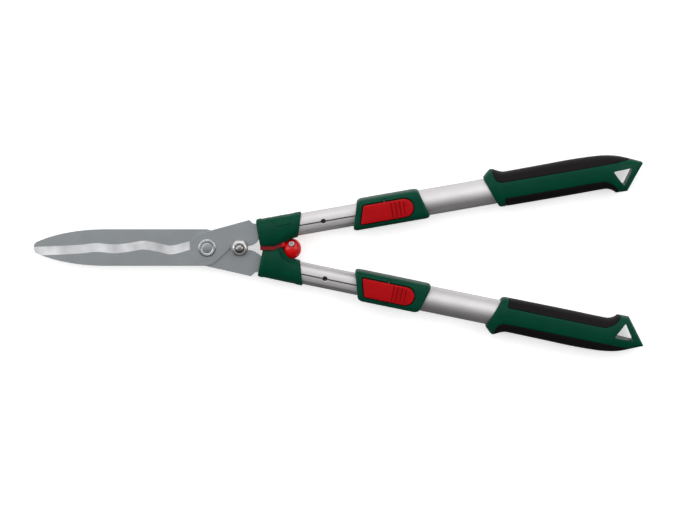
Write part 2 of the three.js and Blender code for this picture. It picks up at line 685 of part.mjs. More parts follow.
// The grip's side towards the other handle: a curve, then the hook's straight edges.
function gripInner(u) {
  const last = HOOK_EDGE.findIndex(([place]) => u <= place);
  if (last === 0) return gripCurve(u);
  const [[u0, v0], [u1, v1]] = [HOOK_EDGE[last - 1], HOOK_EDGE[last]];
  return THREE.MathUtils.mapLinear(u, u0, u1, v0, v1);
}

// The share of a depth that is taken beyond a place, which is less where the hook is thin.
function depthShare(u, start) {
  if (u < start) return 1;
  return u < GRIP_END ? THIN.share : THIN.endShare;
}

// The grip's skin, or the same shape set in by a depth.
function gripBody(depth) {
  const rings = FLANGE.map(({ u, low, high, height, slope }) => ovalRing({
    u, low: low + depth, high: high - depth, bottom: height - depth, top: height - depth,
    power: GRIP_POWER.plain, slope, sides: GRIP_SIDES, floor: REST_Z,
  }));
  for (const u of GRIP_STATIONS) {
    const taper = THREE.MathUtils.smoothstep(u, GRIP_TAPER.start, GRIP_END) ** GRIP_TAPER.power;
    const height = THREE.MathUtils.lerp(GRIP_HALF_HEIGHT.middle, GRIP_HALF_HEIGHT.end, taper) - depth;
    const squareness = THREE.MathUtils.smoothstep(u, GRIP_POWER.start, GRIP_POWER.end);
    const low = gripInner(u) + depth * depthShare(u, THIN.inner);
    const high = gripOuter(u) - depth * depthShare(u, THIN.outer);
    const power = GRIP_POWER.plain + GRIP_POWER.gain * squareness;
    rings.push(ovalRing({
      u, low, high, bottom: height, top: height, power, sides: GRIP_SIDES, floor: REST_Z,
    }));
  }
  return loft(rings);
}

// The plan region of a pad, on the side that towards gives, with its edges moved out by extra.
function padRegion(edge, towards, extra) {
  const line = new THREE.SplineCurve(edge.map(([u, v]) => new THREE.Vector2(u, v - towards * extra)));
  const points = line.getPoints(edge.length * 3);
  const last = points.length - 1;
  points[0].x -= extra;
  points[last].x += extra;
  const far = [points[last], points[0]].map((point) => new THREE.Vector2(point.x, towards * FAR));
  return plate(new THREE.Shape([...points, ...far]), -FAR, FAR);
}

function gripPad(edge, towards) {
  return gripBody(0).intersect(padRegion(edge, towards, 0)).subtract(gripBody(PAD_DEPTH));
}

function gripCore() {
  const pads = join(padRegion(OUTER_PAD_EDGE, 1, GAP), padRegion(INNER_PAD_EDGE, -1, GAP));
  return cut(
    gripBody(0),
    pads.subtract(gripBody(PAD_DEPTH + GAP)),
    bar(OUTER_RADIUS + GAP, 0, OUTER_END + GAP),
    plate(roundedShape(HOOK_HOLE, HOOK_HOLE_CORNER), -FAR, FAR, 4),
  );
}

// ---------- assembly ----------

function mesh(name, body, look) {
  const item = new THREE.Mesh(geometryOf(body), new THREE.MeshStandardMaterial(COLOURS[look]));
  item.name = name;
  return item;
}

function pivotGroup() {
  const group = new THREE.Group();
  const [behind, sleeveTop] = [-PLATE_TOP - GAP, PLATE_TOP + GAP];
  const stopWasherTop = sleeveTop + GAP + WASHER_THICKNESS;
  const pivotWasherLow = behind - WASHER_THICKNESS;
  const sleeve = washer(STOP_X, STOP_HOLE_RADIUS, SLEEVE_RADIUS, PLATE_BOTTOM, sleeveTop);
  const pivotWasher = washer(0, PIVOT_HOLE_RADIUS, PIVOT_WASHER_RADIUS, pivotWasherLow, behind);
  const stopWasher = washer(STOP_X, STOP_HOLE_RADIUS, STOP_WASHER_RADIUS, sleeveTop + GAP, stopWasherTop);
  const pivotNut = nut(0, behind - PIVOT_NUT.depth, pivotWasherLow - GAP, PIVOT_HOLE_RADIUS, PIVOT_NUT);
  const stopNut = nut(STOP_X, stopWasherTop + GAP, STOP_NUT.top, STOP_HOLE_RADIUS, STOP_NUT);
  group.add(
    mesh('front_blade', frontBlade(), 'blade'),
    mesh('rear_blade', rearBlade(), 'blade'),
    mesh('pivot_bolt', pivotBolt(), 'blade'),
    mesh('pivot_washer', pivotWasher, 'steel'),
    mesh('pivot_nut', pivotNut, 'steel'),
    mesh('stop_bolt', stopBolt(), 'chrome'),
    mesh('stop_sleeve', sleeve, 'steel'),
    mesh('stop_washer', stopWasher, 'steel'),
    mesh('stop_nut', stopNut, 'chrome'),
    mesh('bumper', bumper(), 'rubber'),
    mesh('bumper_screw', ballScrew(), 'steel'),
  );
  return group;
}

function shifted(body, handle) {
  return body.translate([handle.gripShift, 0, 0]);
}

const HANDLE_PIECES = [
  ['ferrule', ferrule, 'green'],
  ['tang_screw', () => screw(TANG_SCREW_U, TANG_SCREW), 'steel'],
  ['tube_screw', () => screw(TUBE_SCREW_U, TUBE_SCREW), 'steel'],
  ['inner_tube', innerTube, 'aluminium'],
  ['inner_stop', innerStop, 'black'],
  ['outer_tube', outerTube, 'aluminium'],
  ['collar', collar, 'green'],
  ['collar_screw', () => screw(COLLAR_SCREW_U, COLLAR_SCREW), 'steel'],
  ['latch_lever', latchLever, 'red'],
  ['latch_axle', latchAxle, 'steel'],
  ['lock_pin', lockPin, 'steel'],
  ['latch_spring', latchSpring, 'steel'],
  ['grip_core', (handle) => shifted(gripCore(), handle), 'green'],
  ['grip_pad_outer', (handle) => shifted(gripPad(OUTER_PAD_EDGE, 1), handle), 'black'],
  ['grip_pad_inner', (handle) => shifted(gripPad(INNER_PAD_EDGE, -1), handle), 'black'],
];

// The lower handle is the upper one's mirror image, at its own angle.
function handleGroup(handle) {
  const group = new THREE.Group();
  group.rotation.z = handle.side * handle.angle;
  const alongTube = new THREE.Group();
  alongTube.position.set(handle.reach, handle.side * handle.offset, 0);
  for (const [piece, build, look] of HANDLE_PIECES) {
    const body = build(handle);
    const placed = handle.side > 0 ? body : body.mirror([0, 1, 0]);
    alongTube.add(mesh(`${handle.name}_${piece}`, placed, look));
  }
  group.add(alongTube);
  return group;
}

const shears = new THREE.Group();
const drawing = new THREE.Group();
drawing.add(pivotGroup(), ...HANDLES.map(handleGroup));
shears.add(drawing);

shears.updateMatrixWorld(true);
const box = new THREE.Box3().setFromObject(drawing, true);
const middle = box.getCenter(new THREE.Vector3());
drawing.position.set(-middle.x, -middle.y, -box.min.z);

export default shears;
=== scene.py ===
import json
import math

import bmesh
import bpy
from mathutils import Matrix, Vector
from mathutils.geometry import interpolate_bezier


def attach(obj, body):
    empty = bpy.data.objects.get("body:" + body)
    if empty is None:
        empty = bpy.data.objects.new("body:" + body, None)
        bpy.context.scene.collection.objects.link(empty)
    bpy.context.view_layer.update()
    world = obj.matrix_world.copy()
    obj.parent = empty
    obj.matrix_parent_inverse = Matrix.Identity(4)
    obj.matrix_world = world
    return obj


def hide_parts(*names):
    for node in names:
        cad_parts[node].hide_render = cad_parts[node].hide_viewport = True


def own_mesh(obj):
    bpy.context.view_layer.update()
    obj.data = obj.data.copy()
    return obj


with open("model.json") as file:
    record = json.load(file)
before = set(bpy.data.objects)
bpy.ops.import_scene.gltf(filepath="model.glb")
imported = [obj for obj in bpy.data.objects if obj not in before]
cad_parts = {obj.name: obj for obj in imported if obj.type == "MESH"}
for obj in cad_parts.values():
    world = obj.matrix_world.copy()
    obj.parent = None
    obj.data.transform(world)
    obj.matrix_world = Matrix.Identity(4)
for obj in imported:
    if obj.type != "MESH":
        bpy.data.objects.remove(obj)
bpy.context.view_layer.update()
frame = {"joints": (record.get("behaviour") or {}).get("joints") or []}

# Meshes are drawn in millimetres and then scaled to metres. The blades and bolts are drawn about
# the blade pivot. A handle's pieces are drawn along its tube: x along the tube from the foot of
# the pivot, y away from the other handle, z up. The lower handle is the upper one mirrored.

MM = 0.001
GAP = 0.3  # between two pieces that would touch
FAR = 60  # beyond everything that lies across a tube
ROUND_SIDES = 96
TUBE_SIDES = 128

JOINTS = {joint["name"]: joint for joint in frame["joints"]}
PIVOT = Vector(JOINTS["blade_pivot"]["pos_m"])
REST_Z = -PIVOT.z / MM  # the floor's height in the drawings

# Blades
PLATE_BOTTOM = 0.15
PLATE_TOP = 3.15
SPINE_Y = 20.5
SPINE_START_X = -118
TIP_X = -195.5
BEVEL_WIDTH = 9.8
BEVEL_END_X = -19.5
EDGE_THICKNESS = 0.5
EDGE_WAVE = [
    (TIP_X, 1), (-168, 2), (-142.5, 3.4), (-124.6, 5.2), (-105.4, 3.6),
    (-88, 5.4), (-71.5, 7.8), (-55, 5.2), (-39.9, 2.4), (BEVEL_END_X, 7.6),
]
WAVE_STEPS = 160
TANG_HALF_WIDTH = 9.2
NECK_U = 58.8
TANG_END = 98
TANG_SCREW_U = 74
TANG_HOLE_RADIUS = 2.1

# Pivot and stop
WASHER_THICKNESS = 1.4
PIVOT_HOLE_RADIUS = 5.2
PIVOT_WASHER_RADIUS = 9.4
PIVOT_NUT_DEPTH = 7
PIVOT_NUT = {"rim": 9.8, "face_radius": 7.9}
STOP_X = 36.8
STOP_WASHER_RADIUS = 9.3
STOP_NUT_TOP = 11
STOP_NUT = {"rim": 9.2, "face_radius": 6.6}
STOP_HOLE_RADIUS = 5
SLEEVE_RADIUS = 8.9
EYE_RADIUS = 9.4
NUT_ACROSS_FLATS = 17

# Bumper
BALL = Vector((95.8, -1.3, 0))
BALL_RADIUS = 10.4
BALL_HALF_WIDTH = 11.4
BALL_HALF_HEIGHT = 10.6
BALL_POWER = 2.2
CUP_RADIUS = 14.6  # the hollow in the ferrules round the ball
CUP_FLOOR = 8.4
STRIP_HALF_HEIGHT = 8
STRIP_THICKNESS = 4.9
STRIP_TOP = [(60, 2.6), (74, 2.7), (80, 4.6), (88, 7.4)]
STRIP_ROOM = 0.6  # between the strip and the upper ferrule
BALL_SCREW = Vector((95.4, 5, 0))
BALL_SCREW_SEAT = 7.4

# Screws driven from behind: the head's lowest point, where the head seats, and the tip
TANG_SCREW = (-12.8, -11, 8)
TUBE_SCREW = (-15, -13.6, -9)
COLLAR_SCREW = (-17.8, -16.5, -13)
SCREW_HEAD_ROOM = 3.4
SCREW_SHANK_ROOM = 2  # in the mouldings
SCREW_SLOT_WIDTH = 0.8
SCREW_SLOT_REACH = 1.9

# Tubes
INNER_RADIUS = 12.3
INNER_START = 80
INNER_END = 352
OUTER_RADIUS = 15
OUTER_START = 192
OUTER_END = 462
TUBE_WALL = 1.5
GROOVE_WIDTH = 1.5
GROOVE_DEPTH = 0.9
LOCK_U = 184.7
LOCK_PITCH = 50
LOCK_STEPS = (-1, 0, 1, 2, 3)
LOCK_HOLE_RADIUS = 2.6
COUNTERSINK = 1  # how much wider a lock hole is at the surface
STOP_PLUG_LENGTH = 14
STOP_PLUG_RADIUS = 10.5
STOP_RIM_END = INNER_END + 6

# Ferrules, measured along from the front end
FERRULE_START = 59.5
FERRULE_END_SLOPE = 0.3
FERRULE_OUTER = 13.9
FERRULE_FRONT_HEIGHT = 12.4
FERRULE_REAR_HEIGHT = 14.3
FERRULE_GROWTH_END = 36
FERRULE_LEAN_START = 12
FERRULE_LEAN_END = 44
FERRULE_POWER = 2.5
FERRULE_SLOT_END = 82
FERRULE_BORE_ROOM = 0.1
PANEL = [(83.5, 3.4), (98.5, 4.4), (99.5, 12.6), (74, 12.6)]
PANEL_CORNER = 1.2
PANEL_RAISE = 0.3
FERRULE_INNER = {
    "upper": [(56, -19), (75, -21.5), (86, -20.5), (93, -17), (103, -13.8), (112, -13.5)],
    "lower": [
        (56, -19.5), (70, -22.5), (78, -25.5), (84, -25), (90, -19), (96.5, -14.8), (103, -13.8),
        (112, -13.5),
    ],
}
TUBE_SCREW_U = 93

# Latch housing and lever
COLLAR_FRONT = 171
COLLAR_REAR = 250
COLLAR_FRONT_SLOPE = 0.3
COLLAR_REAR_SLOPE = -0.27
COLLAR_HALF_WIDTH = 17.2
COLLAR_BOTTOM = 18.4
COLLAR_TOP = 20
COLLAR_POWER = 3
COLLAR_TOP_POWER = 4.6
COLLAR_SCREW_U = 234
RECESS_FLOOR = 14.6
LEVER_START = 178.8
LEVER_END = 237.2
LEVER_SLOPE = 0.31
LEVER_HALF_WIDTH = 10.3
LEVER_BOTTOM = 18.3
LEVER_TOP = 21.2
LEVER_CORNER = 2.2
LEVER_CLEARANCE = 1.1
AXLE_U = 206
AXLE_Z = 17.2
AXLE_RADIUS = 1.4
AXLE_HALF_LENGTH = 13.4
AXLE_ROOM = 0.5  # in the housing
AXLE_LUG_HALF_LENGTH = 3.5
AXLE_LUG_INSET = 0.6
AXLE_LUG_LOW = 15.5
PIN_RADIUS = 2.1
PIN_BOSS_WALL = 1.5
PIN_BOSS_LOW = 15
RIB_START = 214.5
RIB_PITCH = 4.7
RIB_COUNT = 4
RIB_HALF_LENGTH = 0.9
RIB_HALF_WIDTH = 8.6
LAST_RIB_HALF_WIDTH = 7.4
RIB_HEIGHT = 1
RIB_SLOT_DEPTH = 0.9
SPRING_U = 225

# Grip
GRIP_END = 499.7
GRIP_HALF_HEIGHT = 17.3
GRIP_POWER = 2.4
GRIP_SIDES = 120
BODY_STEP = 2.5
HOOK_START = 462
HOOK_HALF_HEIGHT = 9  # at its very end
HOOK_TAPER_POWER = 1.2
HOOK_POWER_GAIN = 0.8
HOOK_POWER_RANGE = (455, 480)
THIN_INNER_RANGE = (472, 490)  # where a depth taken from the grip fades, on each side
THIN_OUTER_RANGE = (484, 496)
THIN_SHARE = 0.2
PAD_DEPTH = 2
PAD_INSET = 0.1
PAD_ROOM = 0.15
GRIP_OUTER_EDGE = [
    (340, 19), (381, 19.3), (420, 19.7), (448, 18.8), (462, 17.2), (473, 14.6), (484, 10.4),
    (GRIP_END, 3.2),
]
GRIP_INNER_EDGE = [
    (333, -19.5), (400, -19.8), (448, -19.6), (456, -20.2), (461, -22.4), (464.6, -25.9),
]
HOOK_EDGE = [(464.6, -25.9), (477.7, -26.1), (GRIP_END, 1.6)]
HOOK_HOLE = [(465.2, -0.8), (487.6, -0.8), (474.8, -19.4)]
HOOK_HOLE_CORNER = 2.4
OUTER_PAD_EDGE = [
    (331.7, 17), (333.5, 12.5), (338, 9.6), (346, 8.8), (405, 8.4), (456, 8.3), (478, 8.8), (492, 9.4),
]
INNER_PAD_EDGE = [
    (340.5, -10), (400, -9.8), (448, -9.9), (456, -11.3), (462, -15.2), (466, -20), (469, -27),
]
GRIP_SHIFT = {"upper": 0, "lower": 3}  # how much further out one grip sits on its tube


# ---------- places ----------

class Handle:
    """One handle: where its tube lies, and which way is away from the other handle."""

    def __init__(self, name, side):
        along = Vector(JOINTS[name + "_extend"]["axis"])
        press = JOINTS[name + "_latch_press"]
        out = Vector(press["axis"]) * side
        up = Vector((0, 0, 1))
        self.name = name
        self.side = side
        self.offset = (Vector(press["pos_m"]) - PIVOT).dot(out) / MM
        self.reach = (Vector(press["pos_m"]) - PIVOT).dot(along) / MM - AXLE_U
        self.angle = math.atan2(along.y * side, along.x)
        axes = Matrix((along, up.cross(along), up)).transposed().to_4x4()
        foot = PIVOT + (out * self.offset + along * self.reach) * MM
        self.matrix = Matrix.Translation(foot) @ axes

    def about_pivot(self, u, v):
        """A place along the tube, as a place about the pivot in the upper handle's position."""
        c, s = math.cos(self.angle), math.sin(self.angle)
        x, y = u + self.reach, v + self.offset
        return x * c - y * s, x * s + y * c


UPPER = Handle("upper", 1)
LOWER = Handle("lower", -1)
AT_PIVOT = Matrix.Translation(PIVOT)


# ---------- numbers ----------

def lerp(a, b, t):
    return a + (b - a) * t


def smoothstep(x, low, high):
    t = min(1, max(0, (x - low) / (high - low)))
    return t * t * (3 - 2 * t)


def spline_points(points, steps):
    """A smooth curve through 2D points, with as many steps between each two."""
    padded = [points[0], *points, points[-1]]
    found = []
    for i in range(len(points) - 1):
        a, b, c, d = (Vector(p) for p in padded[i:i + 4])
        for k in range(steps):
            t = k / steps
            velocity = (c - a) * 0.5
            arrival = (d - b) * 0.5
            bend = 2 * (b - c) + velocity + arrival
            lean = 3 * (c - b) - 2 * velocity - arrival
            found.append(b + velocity * t + lean * t ** 2 + bend * t ** 3)
    found.append(Vector(points[-1]))
    return found


def smooth_curve(points):
    """A smooth height over a list of (place, height) points."""
    samples = spline_points(points, 16)

    def height(x):
        for a, b in zip(samples, samples[1:]):
            if x <= b.x:
                return lerp(a.y, b.y, min(1, max(0, (x - a.x) / (b.x - a.x))))
        return samples[-1].y

    return height


cutting_edge = smooth_curve(EDGE_WAVE)
grip_outer = smooth_curve(GRIP_OUTER_EDGE)
grip_curve = smooth_curve(GRIP_INNER_EDGE)


def grip_inner(u):
    """The grip's side towards the other handle: a curve, then the hook's straight edges."""
    (u0, v0), (u1, v1), (u2, v2) = HOOK_EDGE
    if u <= u0:
        return grip_curve(u)
    if u <= u1:
        return lerp(v0, v1, (u - u0) / (u1 - u0))
    return lerp(v1, v2, (u - u1) / (u2 - u1))


# ---------- meshes ----------

def mesh_of(points, faces):
    """A closed mesh with its faces turned outwards."""
    mesh = bpy.data.meshes.new("drawing")
    mesh.from_pydata([tuple(p) for p in points], [], faces)
    work = bmesh.new()
    work.from_mesh(mesh)
    bmesh.ops.remove_doubles(work, verts=work.verts, dist=1e-4)
    bmesh.ops.recalc_face_normals(work, faces=work.faces)
    work.to_mesh(mesh)
    work.free()
    return mesh


def loft(rings, closed=False):
    """A skin over rings with the same number of points. Closed joins the last ring to the first."""
    sides = len(rings[0])
    points = [p for ring in rings for p in ring]
    faces = []
    for r in range(len(rings) - (0 if closed else 1)):
        after = (r + 1) % len(rings)
        for s in range(sides):
            t = (s + 1) % sides
            faces.append((r * sides + s, r * sides + t, after * sides + t, after * sides + s))
    if not closed:
        last = (len(rings) - 1) * sides
        faces.append(tuple(range(sides)))
        faces.append(tuple(range(last + sides - 1, last - 1, -1)))
    return mesh_of(points, faces)


def plate(outline, low, high):
    return loft([[Vector((p[0], p[1], z)) for p in outline] for z in (low, high)])


def turned(profile, sides=64):
    """A profile of (radius, height) points that starts and ends on the axis, turned about z."""
    rings = []
    for radius, height in profile[1:-1]:
        turns = (2 * math.pi * s / sides for s in range(sides))
        rings.append([Vector((radius * math.cos(a), radius * math.sin(a), height)) for a in turns])
    points = [p for ring in rings for p in ring]
    points += [Vector((0, 0, profile[0][1])), Vector((0, 0, profile[-1][1]))]
    faces = []
    for r in range(len(rings) - 1):
        for s in range(sides):
            t = (s + 1) % sides
            faces.append((r * sides + s, r * sides + t, (r + 1) * sides + t, (r + 1) * sides + s))
    top = (len(rings) - 1) * sides
    for s in range(sides):
        t = (s + 1) % sides
        faces.append((len(points) - 2, t, s))
        faces.append((len(points) - 1, top + s, top + t))
    return mesh_of(points, faces)


def ring_profile(inner, outer, low, high, chamfer):
    """The closed section of a washer or tube, with its edges broken."""
    return [
        (inner, low + chamfer), (inner + chamfer, low), (outer - chamfer, low), (outer, low + chamfer),
        (outer, high - chamfer), (outer - chamfer, high), (inner + chamfer, high), (inner, high - chamfer),
    ]


def ring(inner, outer, low, high, chamfer=0.2, sides=ROUND_SIDES):
    rings = []
    for s in range(sides):
        a = 2 * math.pi * s / sides
        section = ring_profile(inner, outer, low, high, chamfer)
        rings.append([Vector((r * math.cos(a), r * math.sin(a), z)) for r, z in section])
    return loft(rings, closed=True)


def post(radius, low, high, sides=48):
    return turned([(0, low), (radius, low), (radius, high), (0, high)], sides)


def moved(mesh, x=0, y=0, z=0):
    mesh.transform(Matrix.Translation((x, y, z)))
    return mesh


def lying(mesh):
    """Turns a mesh drawn about z so that its z runs along the tube."""
    mesh.transform(Matrix.Rotation(math.pi / 2, 4, "Y"))
    return mesh


def crosswise(mesh):
    """Turns a mesh drawn about z so that its z runs across the tube."""
    mesh.transform(Matrix.Rotation(-math.pi / 2, 4, "X"))
    return mesh


def mirrored(mesh):
    """A copy with y turned over."""
    copy = mesh.copy()
    copy.transform(Matrix.Scale(-1, 4, (0, 1, 0)))
    copy.flip_normals()
    return copy


def split_across(mesh, x):
    """Cuts every face that crosses a plane across the tube in two."""
    work = bmesh.new()
    work.from_mesh(mesh)
    everything = [*work.verts, *work.edges, *work.faces]
    bmesh.ops.bisect_plane(work, geom=everything, plane_co=(x, 0, 0), plane_no=(1, 0, 0))
    work.to_mesh(mesh)
    work.free()
    return mesh


def with_modifiers(mesh, *settings):
    """The mesh after some modifiers, each given as (type, {setting: value})."""
    work = bpy.data.objects.new("work", mesh)
    bpy.context.scene.collection.objects.link(work)
    for kind, values in settings:
        modifier = work.modifiers.new(kind, kind)
        for key, value in values.items():
            setattr(modifier, key, value)
    graph = bpy.context.evaluated_depsgraph_get()
    result = bpy.data.meshes.new_from_object(work.evaluated_get(graph))
    bpy.data.objects.remove(work)
    return result


def combined(mesh, other, operation):
    tool = bpy.data.objects.new("tool", other)
    bpy.context.scene.collection.objects.link(tool)
    settings = {"operation": operation, "object": tool, "solver": "EXACT"}
    result = with_modifiers(mesh, ("BOOLEAN", settings))
    bpy.data.objects.remove(tool)
    return result


def cut(mesh, *others):
    for other in others:
        mesh = combined(mesh, other, "DIFFERENCE")
    return mesh


def join(mesh, *others):
    for other in others:
        mesh = combined(mesh, other, "UNION")
    return mesh


def common(mesh, other):
    return combined(mesh, other, "INTERSECT")


def moulded(mesh, voxel, smoothing):
    """Rebuilds a mesh evenly and softens it, so that its edges are rounded as on a moulding."""
    return with_modifiers(
        mesh,
        ("REMESH", {"mode": "VOXEL", "voxel_size": voxel}),
        ("SMOOTH", {"factor": 0.5, "iterations": smoothing}),
    )


def machined(mesh, width, angle=40):
    """Breaks the sharp edges of a metal piece."""
    limit = math.radians(angle)
    settings = {"width": width, "segments": 2, "limit_method": "ANGLE", "angle_limit": limit}
    return with_modifiers(mesh, ("BEVEL", settings))


def piece(name, mesh, place, body, material, replaces, smooth=35):
    """Puts a drawn mesh into the scene, on a body, in place of CAD nodes."""
    mesh.transform(Matrix.Scale(MM, 4))
    mesh.name = name
    mesh.materials.clear()
    mesh.materials.append(material)
    mesh.shade_smooth()
    mesh.set_sharp_from_angle(angle=math.radians(smooth))
    item = bpy.data.objects.new(name, mesh)
    bpy.context.scene.collection.objects.link(item)
    item.matrix_world = place
    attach(item, body)
    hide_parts(*replaces)
    return item


def on_handles(kind, mesh, group, material, smooth=35, shift=None):
    """The same piece on both handles, moved along each tube by what shift gives for it."""
    for handle in (UPPER, LOWER):
        shape = mesh.copy() if handle is UPPER else mirrored(mesh)
        if shift:
            moved(shape, shift[handle.name])
        node = f"{handle.name}_{kind}"
        piece(node + "_look", shape, handle.matrix, f"{handle.name}_{group}", material, [node], smooth)


# ---------- outlines ----------

def arc(x, y, radius, start, end, steps):
    """Points on a circle, from one angle to another, both included."""
    angles = [lerp(start, end, k / steps) for k in range(steps + 1)]
    return [Vector((x + radius * math.cos(a), y + radius * math.sin(a))) for a in angles]


def quadratic(start, bend, end, steps):
    found = []
    for k in range(steps + 1):
        t = k / steps
        found.append(Vector(start).lerp(Vector(bend), t).lerp(Vector(bend).lerp(Vector(end), t), t))
    return found


def rectangle(start, end, half_width):
    return [(start, -half_width), (end, -half_width), (end, half_width), (start, half_width)]


def rounded_polygon(corners, radius, steps=6):
    """A polygon with its corners rounded, as points."""
    found = []
    for i, corner in enumerate(corners):
        point = Vector(corner)
        before = Vector(corners[i - 1])
        after = Vector(corners[(i + 1) % len(corners)])
        start = point.lerp(before, radius / (point - before).length)
        end = point.lerp(after, radius / (point - after).length)
        found += quadratic(start, point, end, steps)
    return found


def lever_outline(extra):
    """The lever's plan: a slanted front end with small corners, and a round rear end."""
    half = LEVER_HALF_WIDTH + extra
    corner = max(0.8, LEVER_CORNER + extra)

    def front(v):
        return Vector((LEVER_START - extra + LEVER_SLOPE * v, v))

    along = Vector((corner, 0))
    points = arc(LEVER_END - LEVER_HALF_WIDTH, 0, half, -math.pi / 2, math.pi / 2, 24)
    points += quadratic(front(half) + along, front(half), front(half - corner), 8)
    points += quadratic(front(corner - half), front(-half), front(-half) + along, 8)
    return points


def oval_ring(u, low, high, bottom, top, power, top_power=None, slope=0.0, sides=ROUND_SIDES):
    """A squarish oval across the tube, leaning by slope and flat where it meets the floor."""
    middle, half = (low + high) / 2, (high - low) / 2
    found = []
    for s in range(sides):
        angle = (s + 0.5) * 2 * math.pi / sides
        c, n = math.cos(angle), math.sin(angle)
        p = (top_power or power) if n > 0 else power
        y = middle + half * math.copysign(abs(c) ** (2 / p), c)
        z = (top if n > 0 else -bottom) * abs(n) ** (2 / p)
        found.append(Vector((u + slope * y, y, max(z, REST_Z))))
    return found


# ---------- blades ----------

FRONT_HUB = {
    "diagonal": (12.9, -12.6),
    "crown": quadratic((-12.8, 13.3), (-10.4, 15.4), (-7.2, 16.4), 8),
    "shoulder": (47.8, 31.5), "chamfer": (51.4, 27.7), "gap": (46.2, 2),
    "stop": arc(STOP_X, 0, SLEEVE_RADIUS + GAP, 0.15, math.pi - 0.1, 32),
}
REAR_HUB = {
    "diagonal": (12.9, -12.6), "crown": arc(0, 0, 21, 2.77, 1.8, 24),
    "shoulder": (49.4, 32.8), "chamfer": (54, 28.6), "gap": (48, 3.1),
    "stop": arc(STOP_X, 0, EYE_RADIUS, 0.35, -1.9, 32),
}


def blade_outline(handle, hub):
    """The blade from the hub's inner side round the spine, the tip and the edge to the tang."""
    wave = [lerp(TIP_X, BEVEL_END_X, k / WAVE_STEPS) for k in range(1, WAVE_STEPS + 1)]
    spine = [(SPINE_START_X, -SPINE_Y), (-150, -20), (-176, -14), (-193.8, -5.6)]
    spine_curve = interpolate_bezier(*(Vector((x, y, 0)) for x, y in spine), 40)
    neck = [(NECK_U, TANG_HALF_WIDTH), (TANG_END, TANG_HALF_WIDTH), (TANG_END, -TANG_HALF_WIDTH)]
    neck_end = handle.about_pivot(NECK_U, -TANG_HALF_WIDTH)
    points = quadratic(hub["diagonal"], (6, -SPINE_Y + 0.3), (-2, -SPINE_Y), 12)
    points += [p.to_2d() for p in spine_curve]
    points += quadratic((-193.8, -5.6), (-197.2, -1.6), (TIP_X, 1), 10)[1:]
    points += [Vector((x, cutting_edge(x))) for x in wave]
    points += hub["crown"]
    points += [Vector(hub["shoulder"]), Vector(hub["chamfer"])]
    points += [Vector(handle.about_pivot(u, v)) for u, v in neck]
    points += quadratic(neck_end, (54.5, hub["gap"][1] + 0.8), hub["gap"], 12)
    points += hub["stop"]
    return points


def bevel_waste():
    """The wedge that is ground away above the bevel."""
    slope = (PLATE_TOP - PLATE_BOTTOM - EDGE_THICKNESS) / BEVEL_WIDTH
    beyond = 2
    rings = []
    for k in range(WAVE_STEPS + 1):
        x = lerp(TIP_X - 4, BEVEL_END_X, k / WAVE_STEPS)
        edge = cutting_edge(x)
        rings.append([
            Vector((x, edge - BEVEL_WIDTH - 0.01, PLATE_TOP + 0.01)),
            Vector((x, edge + beyond, PLATE_BOTTOM + EDGE_THICKNESS - beyond * slope)),
            Vector((x, edge + beyond, PLATE_TOP + beyond)),
        ])
    return loft(rings)


def blade_mesh(handle, hub, holes):
    mesh = plate(blade_outline(handle, hub), PLATE_BOTTOM, PLATE_TOP)
    mesh = cut(mesh, bevel_waste())
    for x, y, radius in holes:
        mesh = cut(mesh, moved(post(radius, -1, PLATE_TOP + 1), x, y))
    return machined(mesh, width=0.5, angle=50)


def finish_faces(item, material, chosen):
    """Gives the faces that are chosen one more finish."""
    item.data.materials.append(material)
    last = len(item.data.materials) - 1
    for face in item.data.polygons:
        if chosen(face):
            face.material_index = last


def on_bevel(face):
    """The ground bevel is known by the way its faces lean."""
    return 0.95 < abs(face.normal.z) < 0.985


def make_blades(looks):
    screw_hole = (*UPPER.about_pivot(TANG_SCREW_U, 0), TANG_HOLE_RADIUS)
    front = blade_mesh(UPPER, FRONT_HUB, [(0, 0, PIVOT_HOLE_RADIUS), screw_hole])
    item = piece("front_blade_look", front, AT_PIVOT, "upper_arm", looks["flat"],
                 ["front_blade"], smooth=7)
    finish_faces(item, looks["bevel"], on_bevel)
    screw_hole = (*LOWER.about_pivot(TANG_SCREW_U, 0), TANG_HOLE_RADIUS)
    holes = [(0, 0, PIVOT_HOLE_RADIUS), (STOP_X, 0, STOP_HOLE_RADIUS), screw_hole]
    rear = blade_mesh(LOWER, REAR_HUB, holes)
    rear.transform(Matrix.Rotation(math.pi, 4, "X"))
    item = piece("rear_blade_look", rear, AT_PIVOT, "lower_arm", looks["flat"],
                 ["rear_blade"], smooth=7)
    finish_faces(item, looks["bevel"], on_bevel)


# ---------- pivot, stop and bumper ----------

def on_raised_ring(face):
    """The sides of the ring round the pivot bolt's head: smoother, and brighter in colour as a painted
    highlight.
    """
    centre = face.center / MM
    return 6.9 < math.hypot(centre.x, centre.y) < 9.2 and centre.z > PLATE_TOP + 1.5


